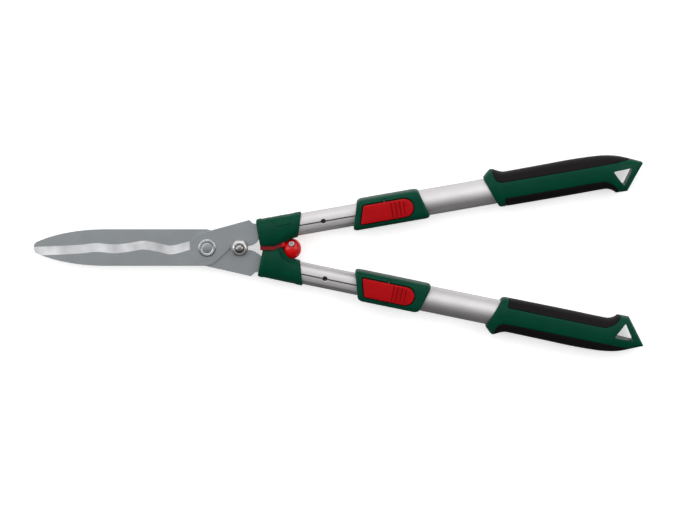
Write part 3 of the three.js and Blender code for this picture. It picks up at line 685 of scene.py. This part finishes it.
def make_pivot(looks):
    under = PLATE_TOP + GAP
    bolt = turned([
        (0, -11.5), (4.2, -11.5), (4.9, -10.8), (4.9, under), (9.7, under), (10, under + 0.3),
        (10, under + 0.8), (9.6, under + 1.2), (9.1, under + 1.4), (8.9, under + 2.1),
        (8.6, under + 2.5), (8.1, under + 2.6), (7.6, under + 2.5), (7.2, under + 2),
        (6.9, under + 1.5), (6, under + 1.2), (5.2, under + 1.4), (4.9, under + 1.8), (4.6, under + 2.05),
        (4, under + 2.15), (0, under + 2.2),
    ], ROUND_SIDES)
    item = piece("pivot_bolt_look", bolt, AT_PIVOT, "lower_arm", looks["bolt"],
                 ["pivot_bolt"], 25)
    # painted highlight: the ring's sides get the brighter steel colour
    finish_faces(item, looks["chrome"], on_raised_ring)
    behind = -PLATE_TOP - GAP
    washer_low = behind - WASHER_THICKNESS
    washer = ring(PIVOT_HOLE_RADIUS, PIVOT_WASHER_RADIUS, washer_low, behind)
    piece("pivot_washer_look", washer, AT_PIVOT, "lower_arm", looks["zinc"], ["pivot_washer"])
    nut = hex_nut(behind - PIVOT_NUT_DEPTH, washer_low - GAP, PIVOT_HOLE_RADIUS, **PIVOT_NUT)
    piece("pivot_nut_look", nut, AT_PIVOT, "lower_arm", looks["zinc"], ["pivot_nut"])


def hex_nut(low, high, hole_radius, rim, face_radius):
    """A hexagon nut with both faces turned to a cone at the corners."""
    drop = 2
    body = post(NUT_ACROSS_FLATS / math.sqrt(3), low, high, 6)
    cone = turned([
        (0, low), (face_radius, low), (rim, low + drop), (rim, high - drop), (face_radius, high), (0, high),
    ], ROUND_SIDES)
    flare = 1.6
    bore = turned([
        (0, low - 1), (hole_radius + flare, low - 1), (hole_radius, low + flare - 1),
        (hole_radius, high - flare + 1), (hole_radius + flare, high + 1), (0, high + 1),
    ])
    return machined(cut(common(body, cone), bore), width=0.3, angle=15)


def make_stop(looks):
    head = -PLATE_TOP - GAP
    bolt = turned([
        (0, head - 4), (4, head - 3.9), (6.4, head - 3.2), (7.7, head - 2.2), (8.2, head - 1), (8.2, head),
        (4.7, head), (4.7, 12), (4.5, 12.5), (4, 13), (3, 13.5), (1.6, 13.8), (0, 13.9),
    ], ROUND_SIDES)
    washer_low = PLATE_TOP + 2 * GAP
    washer_high = washer_low + WASHER_THICKNESS
    at_stop = AT_PIVOT @ Matrix.Translation((STOP_X * MM, 0, 0))
    sleeve = ring(STOP_HOLE_RADIUS, SLEEVE_RADIUS, PLATE_BOTTOM, PLATE_TOP + GAP)
    washer = ring(STOP_HOLE_RADIUS, STOP_WASHER_RADIUS, washer_low, washer_high)
    nut = hex_nut(washer_high + GAP, STOP_NUT_TOP, STOP_HOLE_RADIUS, **STOP_NUT)
    piece("stop_bolt_look", bolt, at_stop, "lower_arm", looks["bolt_end"], ["stop_bolt"], 28)
    piece("stop_sleeve_look", sleeve, at_stop, "lower_arm", looks["zinc"], ["stop_sleeve"])
    piece("stop_washer_look", washer, at_stop, "lower_arm", looks["zinc"], ["stop_washer"])
    piece("stop_nut_look", nut, at_stop, "lower_arm", looks["chrome"], ["stop_nut"])


def strip_outline(rise=0.0, depth=STRIP_THICKNESS):
    top = [point + Vector((0, rise)) for point in spline_points(STRIP_TOP, 12)]
    return top + [point - Vector((0, depth)) for point in reversed(top)]


def ball_mesh(extra=0.0):
    """The ball, or the same shape made larger. It is a little wider across than along."""
    profile = []
    steps = 48
    for k in range(steps + 1):
        angle = -math.pi / 2 + k * math.pi / steps
        c, n = math.cos(angle), math.sin(angle)
        radius = 0 if k in (0, steps) else (BALL_RADIUS + extra) * c ** (2 / BALL_POWER)
        height = (BALL_HALF_HEIGHT + extra) * math.copysign(abs(n) ** (2 / BALL_POWER), n)
        profile.append((radius, height))
    mesh = turned(profile, ROUND_SIDES)
    across = (BALL_HALF_WIDTH + extra) / (BALL_RADIUS + extra)
    mesh.transform(Matrix.Scale(across, 4, (0, 1, 0)))
    return moved(mesh, BALL.x, BALL.y)


def cross_slot(width, reach, low, high):
    """The tool for a cross recess."""
    half = width / 2
    bars = [plate([(-reach, -half), (reach, -half), (reach, half), (-reach, half)], low, high)]
    bars.append(plate([(-half, -reach), (half, -reach), (half, reach), (-half, reach)], low, high))
    return join(*bars)


def make_bumper(looks):
    seat = BALL_SCREW_SEAT
    head_room = moved(post(3.3 + GAP, seat - GAP, BALL_HALF_HEIGHT + 1), BALL_SCREW.x, BALL_SCREW.y)
    shank_room = moved(post(1.5 + GAP, -5, seat), BALL_SCREW.x, BALL_SCREW.y)
    strip = plate(strip_outline(), -STRIP_HALF_HEIGHT, STRIP_HALF_HEIGHT)
    body = moulded(cut(join(strip, ball_mesh()), head_room, shank_room), voxel=0.4, smoothing=4)
    item = piece("bumper_look", body, AT_PIVOT, "lower_arm", looks["rubber"], ["bumper"])
    # painted shade: the strip between the ferrules gets a darker red than the ball
    finish_faces(item, looks["strip"], lambda face: face.center.x < (BALL.x - BALL_RADIUS - 1) * MM)
    screw = turned([
        (0, -4), (1.5, -3), (1.5, seat), (3.3, seat), (3.3, seat + 0.9), (2.8, seat + 1.5),
        (2.2, seat + 1.8), (1.5, seat + 1.1), (0, seat + 0.9),
    ], 48)
    screw = moved(machined(screw, width=0.1), BALL_SCREW.x, BALL_SCREW.y)
    piece("bumper_screw_look", screw, AT_PIVOT, "lower_arm", looks["zinc"], ["bumper_screw"])


# ---------- ferrules ----------

def bumper_room(handle):
    """What a ferrule leaves free beside the bumper, in the upper handle's own place."""
    rise = STRIP_ROOM if handle is UPPER else FAR - STRIP_THICKNESS - GAP
    cup = moved(post(CUP_RADIUS, CUP_FLOOR, FAR, ROUND_SIDES), BALL.x, BALL.y)
    room = join(plate(strip_outline(rise, FAR), -FAR, FAR), ball_mesh(3 * GAP), cup)
    turn = Matrix.Rotation(-handle.side * handle.angle, 4, "Z")
    room.transform(Matrix.Translation((-handle.reach, -handle.side * handle.offset, 0)) @ turn)
    return room if handle is UPPER else mirrored(room)


# A ferrule's rings: distance from its front end, and how much its surface is raised there.
FERRULE_RINGS = [
    (0, -2), (0.3, -1.1), (0.9, -0.4), (1.8, 0), (2.6, 0.2), (5.6, 0.2), (6.2, 0.1), (6.8, -0.35),
    (9, -0.35), (12, -0.3), (16, -0.25), (20, -0.25), (24, -0.2), (28, -0.2), (32, -0.2), (36, -0.2),
    (39, -0.2), (39.8, -0.2), (40.4, 0.2), (43, 0.2), (46, 0.2), (47.2, 0), (47.8, -0.3), (48, -0.8),
]


def ferrule_ring(handle, along, swell):
    inner = smooth_curve(FERRULE_INNER[handle.name])
    u = FERRULE_START + along
    growth = smoothstep(along, 0, FERRULE_GROWTH_END)
    height = lerp(FERRULE_FRONT_HEIGHT, FERRULE_REAR_HEIGHT, growth) + swell
    slope = FERRULE_END_SLOPE * smoothstep(along, FERRULE_LEAN_START, FERRULE_LEAN_END)
    low, high = inner(u) - swell, FERRULE_OUTER + swell
    return oval_ring(u, low, high, height, height, FERRULE_POWER, slope=slope)


def ferrule_mesh(handle):
    body = loft([ferrule_ring(handle, along, swell) for along, swell in FERRULE_RINGS])
    if handle is UPPER:
        panel = plate(rounded_polygon(PANEL, PANEL_CORNER), 0, FAR)
        lid = loft([ferrule_ring(handle, along, PANEL_RAISE) for along in range(8, 42, 2)])
        body = join(body, common(lid, panel))
    wide, high = TANG_HALF_WIDTH + GAP, PLATE_TOP + GAP
    slot = plate([(0, -wide), (FERRULE_SLOT_END, -wide), (FERRULE_SLOT_END, wide), (0, wide)], -high, high)
    bore_radius = INNER_RADIUS + FERRULE_BORE_ROOM
    bore = lying(post(bore_radius, INNER_START - GAP, INNER_START + FAR, ROUND_SIDES))
    body = cut(body, slot, bore, bumper_room(handle))
    for u, (_, seat, tip) in ((TANG_SCREW_U, TANG_SCREW), (TUBE_SCREW_U, TUBE_SCREW)):
        head_room = moved(post(SCREW_HEAD_ROOM, -FAR, seat + GAP), u)
        shank_room = moved(post(SCREW_SHANK_ROOM, -FAR, tip + 2 * GAP), u)
        body = cut(body, head_room, shank_room)
    return moulded(body, voxel=0.36, smoothing=3)


def make_ferrules(looks):
    for handle in (UPPER, LOWER):
        mesh = ferrule_mesh(handle)
        node, arm = f"{handle.name}_ferrule", f"{handle.name}_arm"
        shape = mesh if handle is UPPER else mirrored(mesh)
        piece(node + "_look", shape, handle.matrix, arm, looks["green"], [node], 60)


def screw_mesh(u, head, seat, tip):
    """A pan-head screw driven upwards from behind, with a cross recess."""
    screw = turned([
        (0, head), (1.6, head + 0.05), (2.5, head + 0.35), (3, head + 0.9), (3.1, seat), (1.5, seat),
        (1.5, tip - 1), (0, tip),
    ], 48)
    screw = cut(screw, cross_slot(SCREW_SLOT_WIDTH, SCREW_SLOT_REACH, head - 1, head + 1))
    return moved(machined(screw, width=0.08), u)


def make_screws(looks):
    for kind, body, u, heights in (
        ("tang_screw", "arm", TANG_SCREW_U, TANG_SCREW),
        ("tube_screw", "arm", TUBE_SCREW_U, TUBE_SCREW),
        ("collar_screw", "slide", COLLAR_SCREW_U, COLLAR_SCREW),
    ):
        on_handles(kind, screw_mesh(u, *heights), body, looks["zinc"])


# ---------- tubes ----------

def painted_shade_groove_faces(face):
    """The groove's floor and walls, which get painted shade, lie close to the tube's top and a little below
    it.
    """
    centre = face.center / MM
    slack = 0.05
    above_floor = centre.z > INNER_RADIUS - GROOVE_DEPTH - slack
    return abs(centre.y) < GROOVE_WIDTH / 2 + slack and above_floor and centre.z < INNER_RADIUS - 0.2


def on_countersink(face):
    """The slanting rims of the lock holes, at the tube's top, which get a painted highlight."""
    return 0.6 < face.normal.z < 0.8 and face.center.z > (INNER_RADIUS - 1) * MM


def make_tubes(looks):
    inner = lying(ring(INNER_RADIUS - TUBE_WALL, INNER_RADIUS, INNER_START, INNER_END, 0.3, TUBE_SIDES))
    half = GROOVE_WIDTH / 2
    floor = INNER_RADIUS - GROOVE_DEPTH
    end = INNER_END + FAR
    groove = plate([(0, -half), (end, -half), (end, half), (0, half)], floor, OUTER_RADIUS)
    inner = cut(inner, groove, moved(post(1.8, -FAR, 0), TUBE_SCREW_U))
    rim = LOCK_HOLE_RADIUS + COUNTERSINK
    top = INNER_RADIUS + 0.2
    for step in LOCK_STEPS:
        hole = turned([
            (0, 0), (LOCK_HOLE_RADIUS, 0), (LOCK_HOLE_RADIUS, top - COUNTERSINK), (rim, top), (rim, FAR),
            (0, FAR),
        ], 48)
        inner = cut(inner, moved(hole, LOCK_U + step * LOCK_PITCH))
    on_handles("inner_tube", machined(inner, width=0.15), "arm", looks["tube"])
    for handle in (UPPER, LOWER):
        tube = bpy.data.objects[handle.name + "_inner_tube_look"]
        # painted shade: the groove's floor and walls are coloured dark, standing in for the shade in the
        # groove
        finish_faces(tube, looks["groove"], painted_shade_groove_faces)
        # painted highlight: the lock holes' rims get the bright steel colour
        finish_faces(tube, looks["chrome"], on_countersink)
    outer = lying(ring(OUTER_RADIUS - TUBE_WALL, OUTER_RADIUS, OUTER_START, OUTER_END, 0.3, TUBE_SIDES))
    outer = cut(outer, moved(post(1.7, -FAR, 0), COLLAR_SCREW_U))
    hidden_end = COLLAR_REAR - 5
    on_handles("outer_tube", split_across(outer, hidden_end), "slide", looks["tube"])
    for handle in (UPPER, LOWER):
        tube = bpy.data.objects[handle.name + "_outer_tube_look"]
        # painted shade: the end of the outer tube hidden in the housing is coloured dark like the groove
        finish_faces(tube, looks["groove"], lambda face: face.center.x < hidden_end * MM)


# ---------- latch ----------

# The rounded end of the housing: distance from the end, and how much narrower and lower it is.
COLLAR_RIM = [
    (0, 3.2, 2.2), (0.15, 2.6, 1.5), (0.5, 1.9, 0.9), (1.1, 1.3, 0.4), (2.2, 0.7, 0), (3.4, 0.25, 0),
    (5, 0, 0),
]


def axle_bar(radius, half_length):
    return moved(crosswise(post(radius, -half_length, half_length)), AXLE_U, 0, AXLE_Z)


def collar_mesh():
    length = COLLAR_REAR - COLLAR_FRONT
    middle = [(length * k / 12, 0, 0) for k in range(2, 11)]
    end = [(length - along, *less) for along, *less in reversed(COLLAR_RIM)]
    rings = []
    for along, narrower, lower in [*COLLAR_RIM, *middle, *end]:
        half = COLLAR_HALF_WIDTH - narrower
        slope = lerp(COLLAR_FRONT_SLOPE, COLLAR_REAR_SLOPE, smoothstep(along, length * 0.2, length * 0.8))
        rings.append(oval_ring(
            COLLAR_FRONT + along, -half, half, COLLAR_BOTTOM - lower, COLLAR_TOP - lower,
            COLLAR_POWER, COLLAR_TOP_POWER, slope,
        ))
    seat = COLLAR_SCREW[1]
    body = cut(
        loft(rings),
        lying(post(INNER_RADIUS + GAP, 0, OUTER_START, ROUND_SIDES)),
        lying(post(OUTER_RADIUS + GAP, OUTER_START - GAP, COLLAR_REAR + FAR, ROUND_SIDES)),
        plate(lever_outline(LEVER_CLEARANCE), RECESS_FLOOR, FAR),
        moved(post(PIN_RADIUS + 3 * GAP, 0, COLLAR_TOP), LOCK_U),
        axle_bar(AXLE_RADIUS + AXLE_ROOM, AXLE_HALF_LENGTH + AXLE_ROOM),
        moved(post(SCREW_HEAD_ROOM + GAP, -FAR, seat + 2 * GAP), COLLAR_SCREW_U),
        moved(post(SCREW_SHANK_ROOM, -FAR, 0), COLLAR_SCREW_U),
    )
    return moulded(body, voxel=0.45, smoothing=4)


def lever_mesh():
    crown = [
        (0, LEVER_BOTTOM), (0, LEVER_TOP - 1.1), (-0.2, LEVER_TOP - 0.6), (-0.6, LEVER_TOP - 0.2),
        (-1.2, LEVER_TOP), (-3, LEVER_TOP + 0.2), (-6, LEVER_TOP + 0.35),
    ]
    body = loft([[Vector((p.x, p.y, z)) for p in lever_outline(extra)] for extra, z in crown])
    for k in range(RIB_COUNT):
        u = RIB_START + k * RIB_PITCH
        reach = RIB_HALF_WIDTH if k < RIB_COUNT - 1 else LAST_RIB_HALF_WIDTH
        rib = rounded_polygon(rectangle(u - RIB_HALF_LENGTH, u + RIB_HALF_LENGTH, reach), 0.8)
        body = join(body, plate(rib, LEVER_TOP - 0.4, LEVER_TOP + RIB_HEIGHT))
        slot = rounded_polygon(rectangle(u - 2.1, u - 1.1, reach), 0.4)
        body = cut(body, plate(slot, LEVER_TOP - RIB_SLOT_DEPTH, LEVER_TOP + RIB_HEIGHT))
    lug = rectangle(
        AXLE_U - AXLE_LUG_HALF_LENGTH, AXLE_U + AXLE_LUG_HALF_LENGTH, LEVER_HALF_WIDTH - AXLE_LUG_INSET,
    )
    boss = moved(post(PIN_RADIUS + PIN_BOSS_WALL, PIN_BOSS_LOW, LEVER_BOTTOM + 1), LOCK_U)
    body = join(body, plate(lug, AXLE_LUG_LOW, LEVER_BOTTOM + 1), boss)
    pin_room = moved(post(PIN_RADIUS + GAP, 0, LEVER_BOTTOM + GAP), LOCK_U)
    body = cut(body, axle_bar(AXLE_RADIUS + GAP, FAR), pin_room)
    return moulded(body, voxel=0.3, smoothing=2)


def spring_mesh():
    """A short coil of round wire under the lever's rear end."""
    turns, radius, wire = 2, 3.4, 0.35
    low, high = 15.7, 17.6
    steps, sides = 96, 10
    rings = []
    for k in range(steps + 1):
        a = turns * 2 * math.pi * k / steps
        outward = Vector((math.cos(a), math.sin(a), 0))
        centre = Vector((SPRING_U, 0, lerp(low, high, k / steps))) + outward * radius
        turn = [2 * math.pi * s / sides for s in range(sides)]
        rings.append([centre + (outward * math.cos(b) + Vector((0, 0, math.sin(b)))) * wire for b in turn])
    return loft(rings)


def make_latches(looks):
    on_handles("collar", collar_mesh(), "slide", looks["green"], 60)
    on_handles("latch_lever", lever_mesh(), "latch", looks["red"], 60)
    on_handles("latch_spring", spring_mesh(), "slide", looks["zinc"])
    axle = machined(axle_bar(AXLE_RADIUS, AXLE_HALF_LENGTH), width=0.2)
    # painted shade: the axle is coloured dark so that its ends read as shade in the gap by the lever
    on_handles("latch_axle", axle, "slide", looks["dark"])
    low = INNER_RADIUS + GAP
    pin = turned([
        (0, low), (PIN_RADIUS - 0.7, low), (PIN_RADIUS - 0.2, low + 0.2), (PIN_RADIUS, low + 0.7),
        (PIN_RADIUS, LEVER_BOTTOM), (0, LEVER_BOTTOM),
    ], 48)
    on_handles("lock_pin", moved(pin, LOCK_U), "latch", looks["zinc"])
    start, plug_radius, edge = INNER_END - STOP_PLUG_LENGTH, STOP_PLUG_RADIUS, 0.4
    rim_radius, rim_start = OUTER_RADIUS - TUBE_WALL - GAP, INNER_END + GAP
    plug = turned([
        (0, start), (plug_radius - 0.5, start), (plug_radius, start + 0.5), (plug_radius, rim_start),
        (rim_radius - edge, rim_start), (rim_radius, rim_start + edge), (rim_radius, STOP_RIM_END - edge),
        (rim_radius - edge, STOP_RIM_END), (0, STOP_RIM_END),
    ], ROUND_SIDES)
    on_handles("inner_stop", lying(plug), "arm", looks["black"])
    for handle in (UPPER, LOWER):
        spring = bpy.data.objects[f"{handle.name}_latch_spring_look"]
        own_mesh(spring)


# ---------- grips ----------

# The grip's rings: place, reach to the inner and outer side, half height, and lean.
FLANGE_RINGS = [
    (325.9, -17, 14.5, 16.4, -0.36), (326.2, -18.2, 16.2, 17.1, -0.36), (327.1, -19, 17.5, 17.6, -0.36),
    (330, -19.4, 21.4, 18.2, -0.24), (332, -19.5, 24, 18.4, -0.17), (333.1, -19.5, 24.9, 18.4, -0.13),
    (334.4, -19.5, 24.6, 18.3, -0.11), (336.4, -19.5, 22.9, 18, -0.07), (339.4, -19.5, 20.8, 17.5, -0.03),
    (343, -19.5, 19.3, 17.3, 0),
]


def grip_rings(depth):
    """The grip's skin, set in by a depth, which is less where the hook is thin."""
    rings = []
    for u, low, high, height, slope in FLANGE_RINGS:
        half = height - depth
        across = (low + depth, high - depth)
        rings.append(oval_ring(u, *across, half, half, GRIP_POWER, slope=slope, sides=GRIP_SIDES))
    start = FLANGE_RINGS[-1][0]
    steps = round((GRIP_END - start) / BODY_STEP)
    places = [lerp(start, GRIP_END, k / steps) for k in range(1, steps + 1)]
    places += [u for u, _ in HOOK_EDGE[:-1]]
    for u in sorted(places):
        taper = smoothstep(u, HOOK_START, GRIP_END) ** HOOK_TAPER_POWER
        half = lerp(GRIP_HALF_HEIGHT, HOOK_HALF_HEIGHT, taper) - depth
        low = grip_inner(u) + depth * lerp(1, THIN_SHARE, smoothstep(u, *THIN_INNER_RANGE))
        high = grip_outer(u) - depth * lerp(1, THIN_SHARE, smoothstep(u, *THIN_OUTER_RANGE))
        power = GRIP_POWER + HOOK_POWER_GAIN * smoothstep(u, *HOOK_POWER_RANGE)
        rings.append(oval_ring(u, low, high, half, half, power, sides=GRIP_SIDES))
    return rings


def pad_region(edge, beyond, extra):
    """The plan of a pad, beyond its edge line, widened by extra."""
    towards = math.copysign(1, beyond)
    line = [point - Vector((0, towards * extra)) for point in spline_points(edge, 12)]
    line[0].x -= extra
    line[-1].x += extra
    return plate(line + [Vector((line[-1].x, beyond)), Vector((line[0].x, beyond))], -FAR, FAR)


def pad_mesh(edge, beyond):
    skin = common(loft(grip_rings(0)), pad_region(edge, beyond, -PAD_INSET))
    return moulded(cut(skin, loft(grip_rings(PAD_DEPTH))), voxel=0.5, smoothing=2)


def grip_core_mesh():
    under = loft(grip_rings(PAD_DEPTH + GAP))
    body = loft(grip_rings(0))
    for edge, beyond in ((OUTER_PAD_EDGE, FAR), (INNER_PAD_EDGE, -FAR)):
        body = cut(body, cut(pad_region(edge, beyond, PAD_ROOM), under))
    body = cut(body, lying(post(OUTER_RADIUS + GAP, 0, OUTER_END + GAP, ROUND_SIDES)))
    body = cut(body, plate(rounded_polygon(HOOK_HOLE, HOOK_HOLE_CORNER), -FAR, FAR))
    return moulded(body, voxel=0.5, smoothing=2)


def make_grips(looks):
    for kind, mesh, material, slot in (
        ("grip_core", grip_core_mesh(), looks["green"], "green_plastic"),
        ("grip_pad_outer", pad_mesh(OUTER_PAD_EDGE, FAR), looks["grip"], "black_grip"),
        ("grip_pad_inner", pad_mesh(INNER_PAD_EDGE, -FAR), looks["grip"], "black_grip"),
    ):
        on_handles(kind, mesh, "slide", material, 60, GRIP_SHIFT)


# ---------- materials ----------

def srgb(red, green, blue):
    """A colour given as it looks on a screen, from 0 to 255, as the shader wants it."""
    values = [c / 255 for c in (red, green, blue)]
    return [c / 12.92 if c <= 0.04045 else ((c + 0.055) / 1.055) ** 2.4 for c in values] + [1]


class Finish:
    """A material being put together: its shader, and the noises that vary it."""

    def __init__(self, name, **sockets):
        self.material = bpy.data.materials.new(name)
        self.material.use_nodes = True
        self.tree = self.material.node_tree
        self.shader = self.tree.nodes["Principled BSDF"]
        self.place = self.node("ShaderNodeTexCoord").outputs["Object"]
        for socket, value in sockets.items():
            self.shader.inputs[socket.replace("_", " ")].default_value = value

    def node(self, kind, **inputs):
        found = self.tree.nodes.new(kind)
        for name, value in inputs.items():
            socket = found.inputs[name.replace("_", " ")]
            if isinstance(value, bpy.types.NodeSocket):
                self.tree.links.new(value, socket)
            else:
                socket.default_value = value
        return found

    def noise(self, size, stretch=(1, 1, 1), detail=3):
        """Noise with marks of about this size in millimetres, stretched along the piece's own axes."""
        scale = [1 / (MM * size * s) for s in stretch]
        spread = self.node("ShaderNodeMapping", Vector=self.place, Scale=scale).outputs["Vector"]
        return self.node("ShaderNodeTexNoise", Vector=spread, Scale=1, Detail=detail).outputs["Fac"]

    def between(self, factor, low, high, start=0.3, end=0.7):
        return self.node(
            "ShaderNodeMapRange", Value=factor, From_Min=start, From_Max=end, To_Min=low, To_Max=high,
        ).outputs["Result"]

    def mix(self, factor, one, other):
        return self.node("ShaderNodeMixRGB", Fac=factor, Color1=one, Color2=other).outputs["Color"]

    def edges(self, amount):
        """How far a place is on an outer edge, where handling polishes and scuffs it."""
        sharpness = self.node("ShaderNodeNewGeometry").outputs["Pointiness"]
        return self.between(sharpness, 0, amount, start=0.53, end=0.62)

    def colour(self, socket):
        self.tree.links.new(socket, self.shader.inputs["Base Color"])

    def roughness(self, socket):
        self.tree.links.new(socket, self.shader.inputs["Roughness"])

    def bump(self, height, depth):
        """Raises the surface by the height times the depth, in millimetres."""
        found = self.node("ShaderNodeBump", Height=height, Distance=depth * MM, Strength=1.0)
        self.tree.links.new(found.outputs["Normal"], self.shader.inputs["Normal"])


def shade(colour, factor):
    return [c * factor for c in colour[:3]] + [1]


def plastic(name, colour, rough, grain, grain_depth, scuffed, gloss=0.08):
    """Moulded plastic: a faint mottle, an eroded grain, and edges rubbed paler."""
    finish = Finish(name, Specular_IOR_Level=gloss)
    mottle = finish.mix(finish.noise(14), shade(colour, 0.86), shade(colour, 1.12))
    finish.colour(finish.mix(finish.edges(0.3), mottle, scuffed))
    finish.roughness(finish.between(finish.noise(5), rough - 0.05, rough + 0.08))
    finish.bump(finish.noise(grain, detail=2), grain_depth)
    return finish.material


def brushed_metal(name, colour, rough, grain, stretch, depth, variation=0.08, dullest=0.9):
    """Metal with fine drawn or ground lines along one axis."""
    finish = Finish(name, Metallic=1.0)
    lines = finish.noise(grain, stretch)
    cloud = finish.noise(22)
    tone = finish.mix(lines, shade(colour, 1 - variation), shade(colour, 1 + variation))
    finish.colour(finish.mix(finish.between(cloud, 0, 0.7), tone, shade(colour, dullest)))
    finish.roughness(finish.between(lines, rough - 0.06, rough + 0.1))
    finish.bump(lines, depth)
    return finish.material


def plated_metal(name, colour, rough):
    """Plated steel: nearly smooth, with faint clouds and a little dullness."""
    finish = Finish(name, Metallic=1.0)
    cloud = finish.noise(3)
    finish.colour(finish.mix(cloud, shade(colour, 0.88), shade(colour, 1.05)))
    finish.roughness(finish.between(cloud, rough - 0.04, rough + 0.06))
    finish.bump(finish.noise(0.6), 0.004)
    return finish.material


def make_looks():
    """Every finish: its colour and roughness, the size of its grain and the grain's depth."""
    return {
        "green": plastic("green_plastic", srgb(0, 62, 44), 0.34, 0.35, 0.01, srgb(14, 92, 68)),
        "grip": plastic("black_grip", srgb(20, 17, 17), 0.5, 0.5, 0.02, srgb(44, 40, 40)),
        "black": plastic("black_plastic", srgb(28, 28, 28), 0.4, 0.4, 0.01, srgb(60, 60, 60)),
        "red": plastic("red_plastic", srgb(172, 12, 18), 0.3, 0.4, 0.008, srgb(196, 40, 42)),
        "rubber": plastic("red_rubber", srgb(204, 0, 6), 0.14, 0.8, 0.001, srgb(200, 16, 20), 0.4),
        # painted shade: the strip's darker red stands in for shade between the ferrules; its higher
        # roughness is the rubber's own
        "strip": plastic("rubber_painted_shade", srgb(120, 34, 38), 0.5, 0.6, 0.006, srgb(132, 48, 52)),
        "flat": brushed_metal("satin_steel", srgb(166, 171, 174), 0.42, 0.25, (40, 1, 1), 0.004),
        "bevel": brushed_metal("ground_bevel", srgb(196, 197, 199), 0.4, 0.25, (1, 30, 1), 0.008, 0.1, 0.45),
        "bolt": brushed_metal("satin_bolt", srgb(180, 184, 187), 0.26, 0.5, (1, 1, 1), 0.012),
        "tube": brushed_metal("drawn_aluminium", srgb(214, 211, 212), 0.52, 0.3, (60, 1, 1), 0.012),
        # painted shade: a dark colour for the groove and for the outer tube's end inside the housing
        "groove": brushed_metal("groove_painted_shade", srgb(96, 92, 90), 0.6, 0.3, (20, 1, 1), 0.01),
        "zinc": plated_metal("zinc_steel", srgb(200, 200, 198), 0.3),
        # painted shade: a dark colour for the latch axle, seen only in the gap by the lever
        "dark": plated_metal("pin_painted_shade", srgb(70, 68, 66), 0.4),
        # bright steel for the stop nut; on the pivot bolt's ring and the lock holes' rims it is a painted
        # highlight
        "chrome": plated_metal("bright_steel", srgb(214, 214, 214), 0.14),
        "bolt_end": plated_metal("bolt_end_steel", srgb(150, 149, 146), 0.2),
    }


# ---------- floor, light and camera ----------

FLOOR_HALF_WIDTH = 6
FLOOR_DROP = 0.0005
WORLD_FADE = (-0.6, 0.8)  # from where to where the room gets brighter, by the direction's y
WORLD_STRENGTH = (0.12, 1.15)
VIEW_CENTRE = PIVOT + Vector((0.1489, -0.00797, 0))
VIEW_WIDTH = 0.766
CAMERA_DISTANCE = 4.0
CAMERA_TILT = math.radians(7.2)
SENSOR_WIDTH = 36


def make_floor():
    finish = Finish("floor_paper", Roughness=0.9, Emission_Color=(1, 1, 1, 1), Emission_Strength=0.5)
    finish.colour(finish.mix(finish.noise(400), srgb(244, 244, 244), srgb(248, 248, 248)))
    corners = [(x, y, 0) for x, y in rectangle(-FLOOR_HALF_WIDTH, FLOOR_HALF_WIDTH, FLOOR_HALF_WIDTH)]
    mesh = bpy.data.meshes.new("floor")
    mesh.from_pydata(corners, [], [(0, 1, 2, 3)])
    mesh.materials.append(finish.material)
    floor = bpy.data.objects.new("floor", mesh)
    floor.location.z = -FLOOR_DROP
    floor.visible_glossy = False
    bpy.context.scene.collection.objects.link(floor)


def softbox(name, place, width, height, power):
    light = bpy.data.lights.new(name, "AREA")
    light.shape = "RECTANGLE"
    light.size = width
    light.size_y = height
    light.energy = power
    item = bpy.data.objects.new(name, light)
    bpy.context.scene.collection.objects.link(item)
    item.location = place
    item.rotation_euler = (-Vector(place)).to_track_quat("-Z", "Y").to_euler()
    item.visible_camera = False


def make_world():
    """A room that is bright on the far side of the shears and dark on the near side."""
    world = bpy.data.worlds.new("studio")
    bpy.context.scene.world = world
    world.use_nodes = True
    tree = world.node_tree
    direction = tree.nodes.new("ShaderNodeTexCoord").outputs["Generated"]
    parts = tree.nodes.new("ShaderNodeSeparateXYZ")
    tree.links.new(direction, parts.inputs["Vector"])
    fade = tree.nodes.new("ShaderNodeMapRange")
    for socket, value in zip(("From Min", "From Max", "To Min", "To Max"), WORLD_FADE + WORLD_STRENGTH):
        fade.inputs[socket].default_value = value
    tree.links.new(parts.outputs["Y"], fade.inputs["Value"])
    tree.links.new(fade.outputs["Result"], tree.nodes["Background"].inputs["Strength"])
    tree.nodes["Background"].inputs["Color"].default_value = (1, 1, 1, 1)


def make_light():
    make_world()
    softbox("key", (-0.5, 0.9, 1.5), width=2.2, height=1.5, power=8)
    softbox("right", (1.3, 0.4, 1.3), width=1.0, height=1.2, power=6)
    softbox("left", (-1.5, 0.1, 1.1), width=0.8, height=1.2, power=5)
    bpy.context.scene.view_settings.view_transform = "Standard"


def make_camera():
    camera = bpy.data.cameras.new("camera")
    camera.sensor_width = SENSOR_WIDTH
    camera.lens = SENSOR_WIDTH * CAMERA_DISTANCE / VIEW_WIDTH
    item = bpy.data.objects.new("camera", camera)
    bpy.context.scene.collection.objects.link(item)
    turn = Matrix.Rotation(-CAMERA_TILT, 4, "X")
    item.matrix_world = Matrix.Translation(VIEW_CENTRE) @ turn @ Matrix.Translation((0, 0, CAMERA_DISTANCE))
    bpy.context.scene.camera = item


looks = make_looks()
make_blades(looks)
make_pivot(looks)
make_stop(looks)
make_bumper(looks)
make_ferrules(looks)
make_screws(looks)
make_tubes(looks)
make_latches(looks)
make_grips(looks)
make_floor()
make_light()
make_camera()
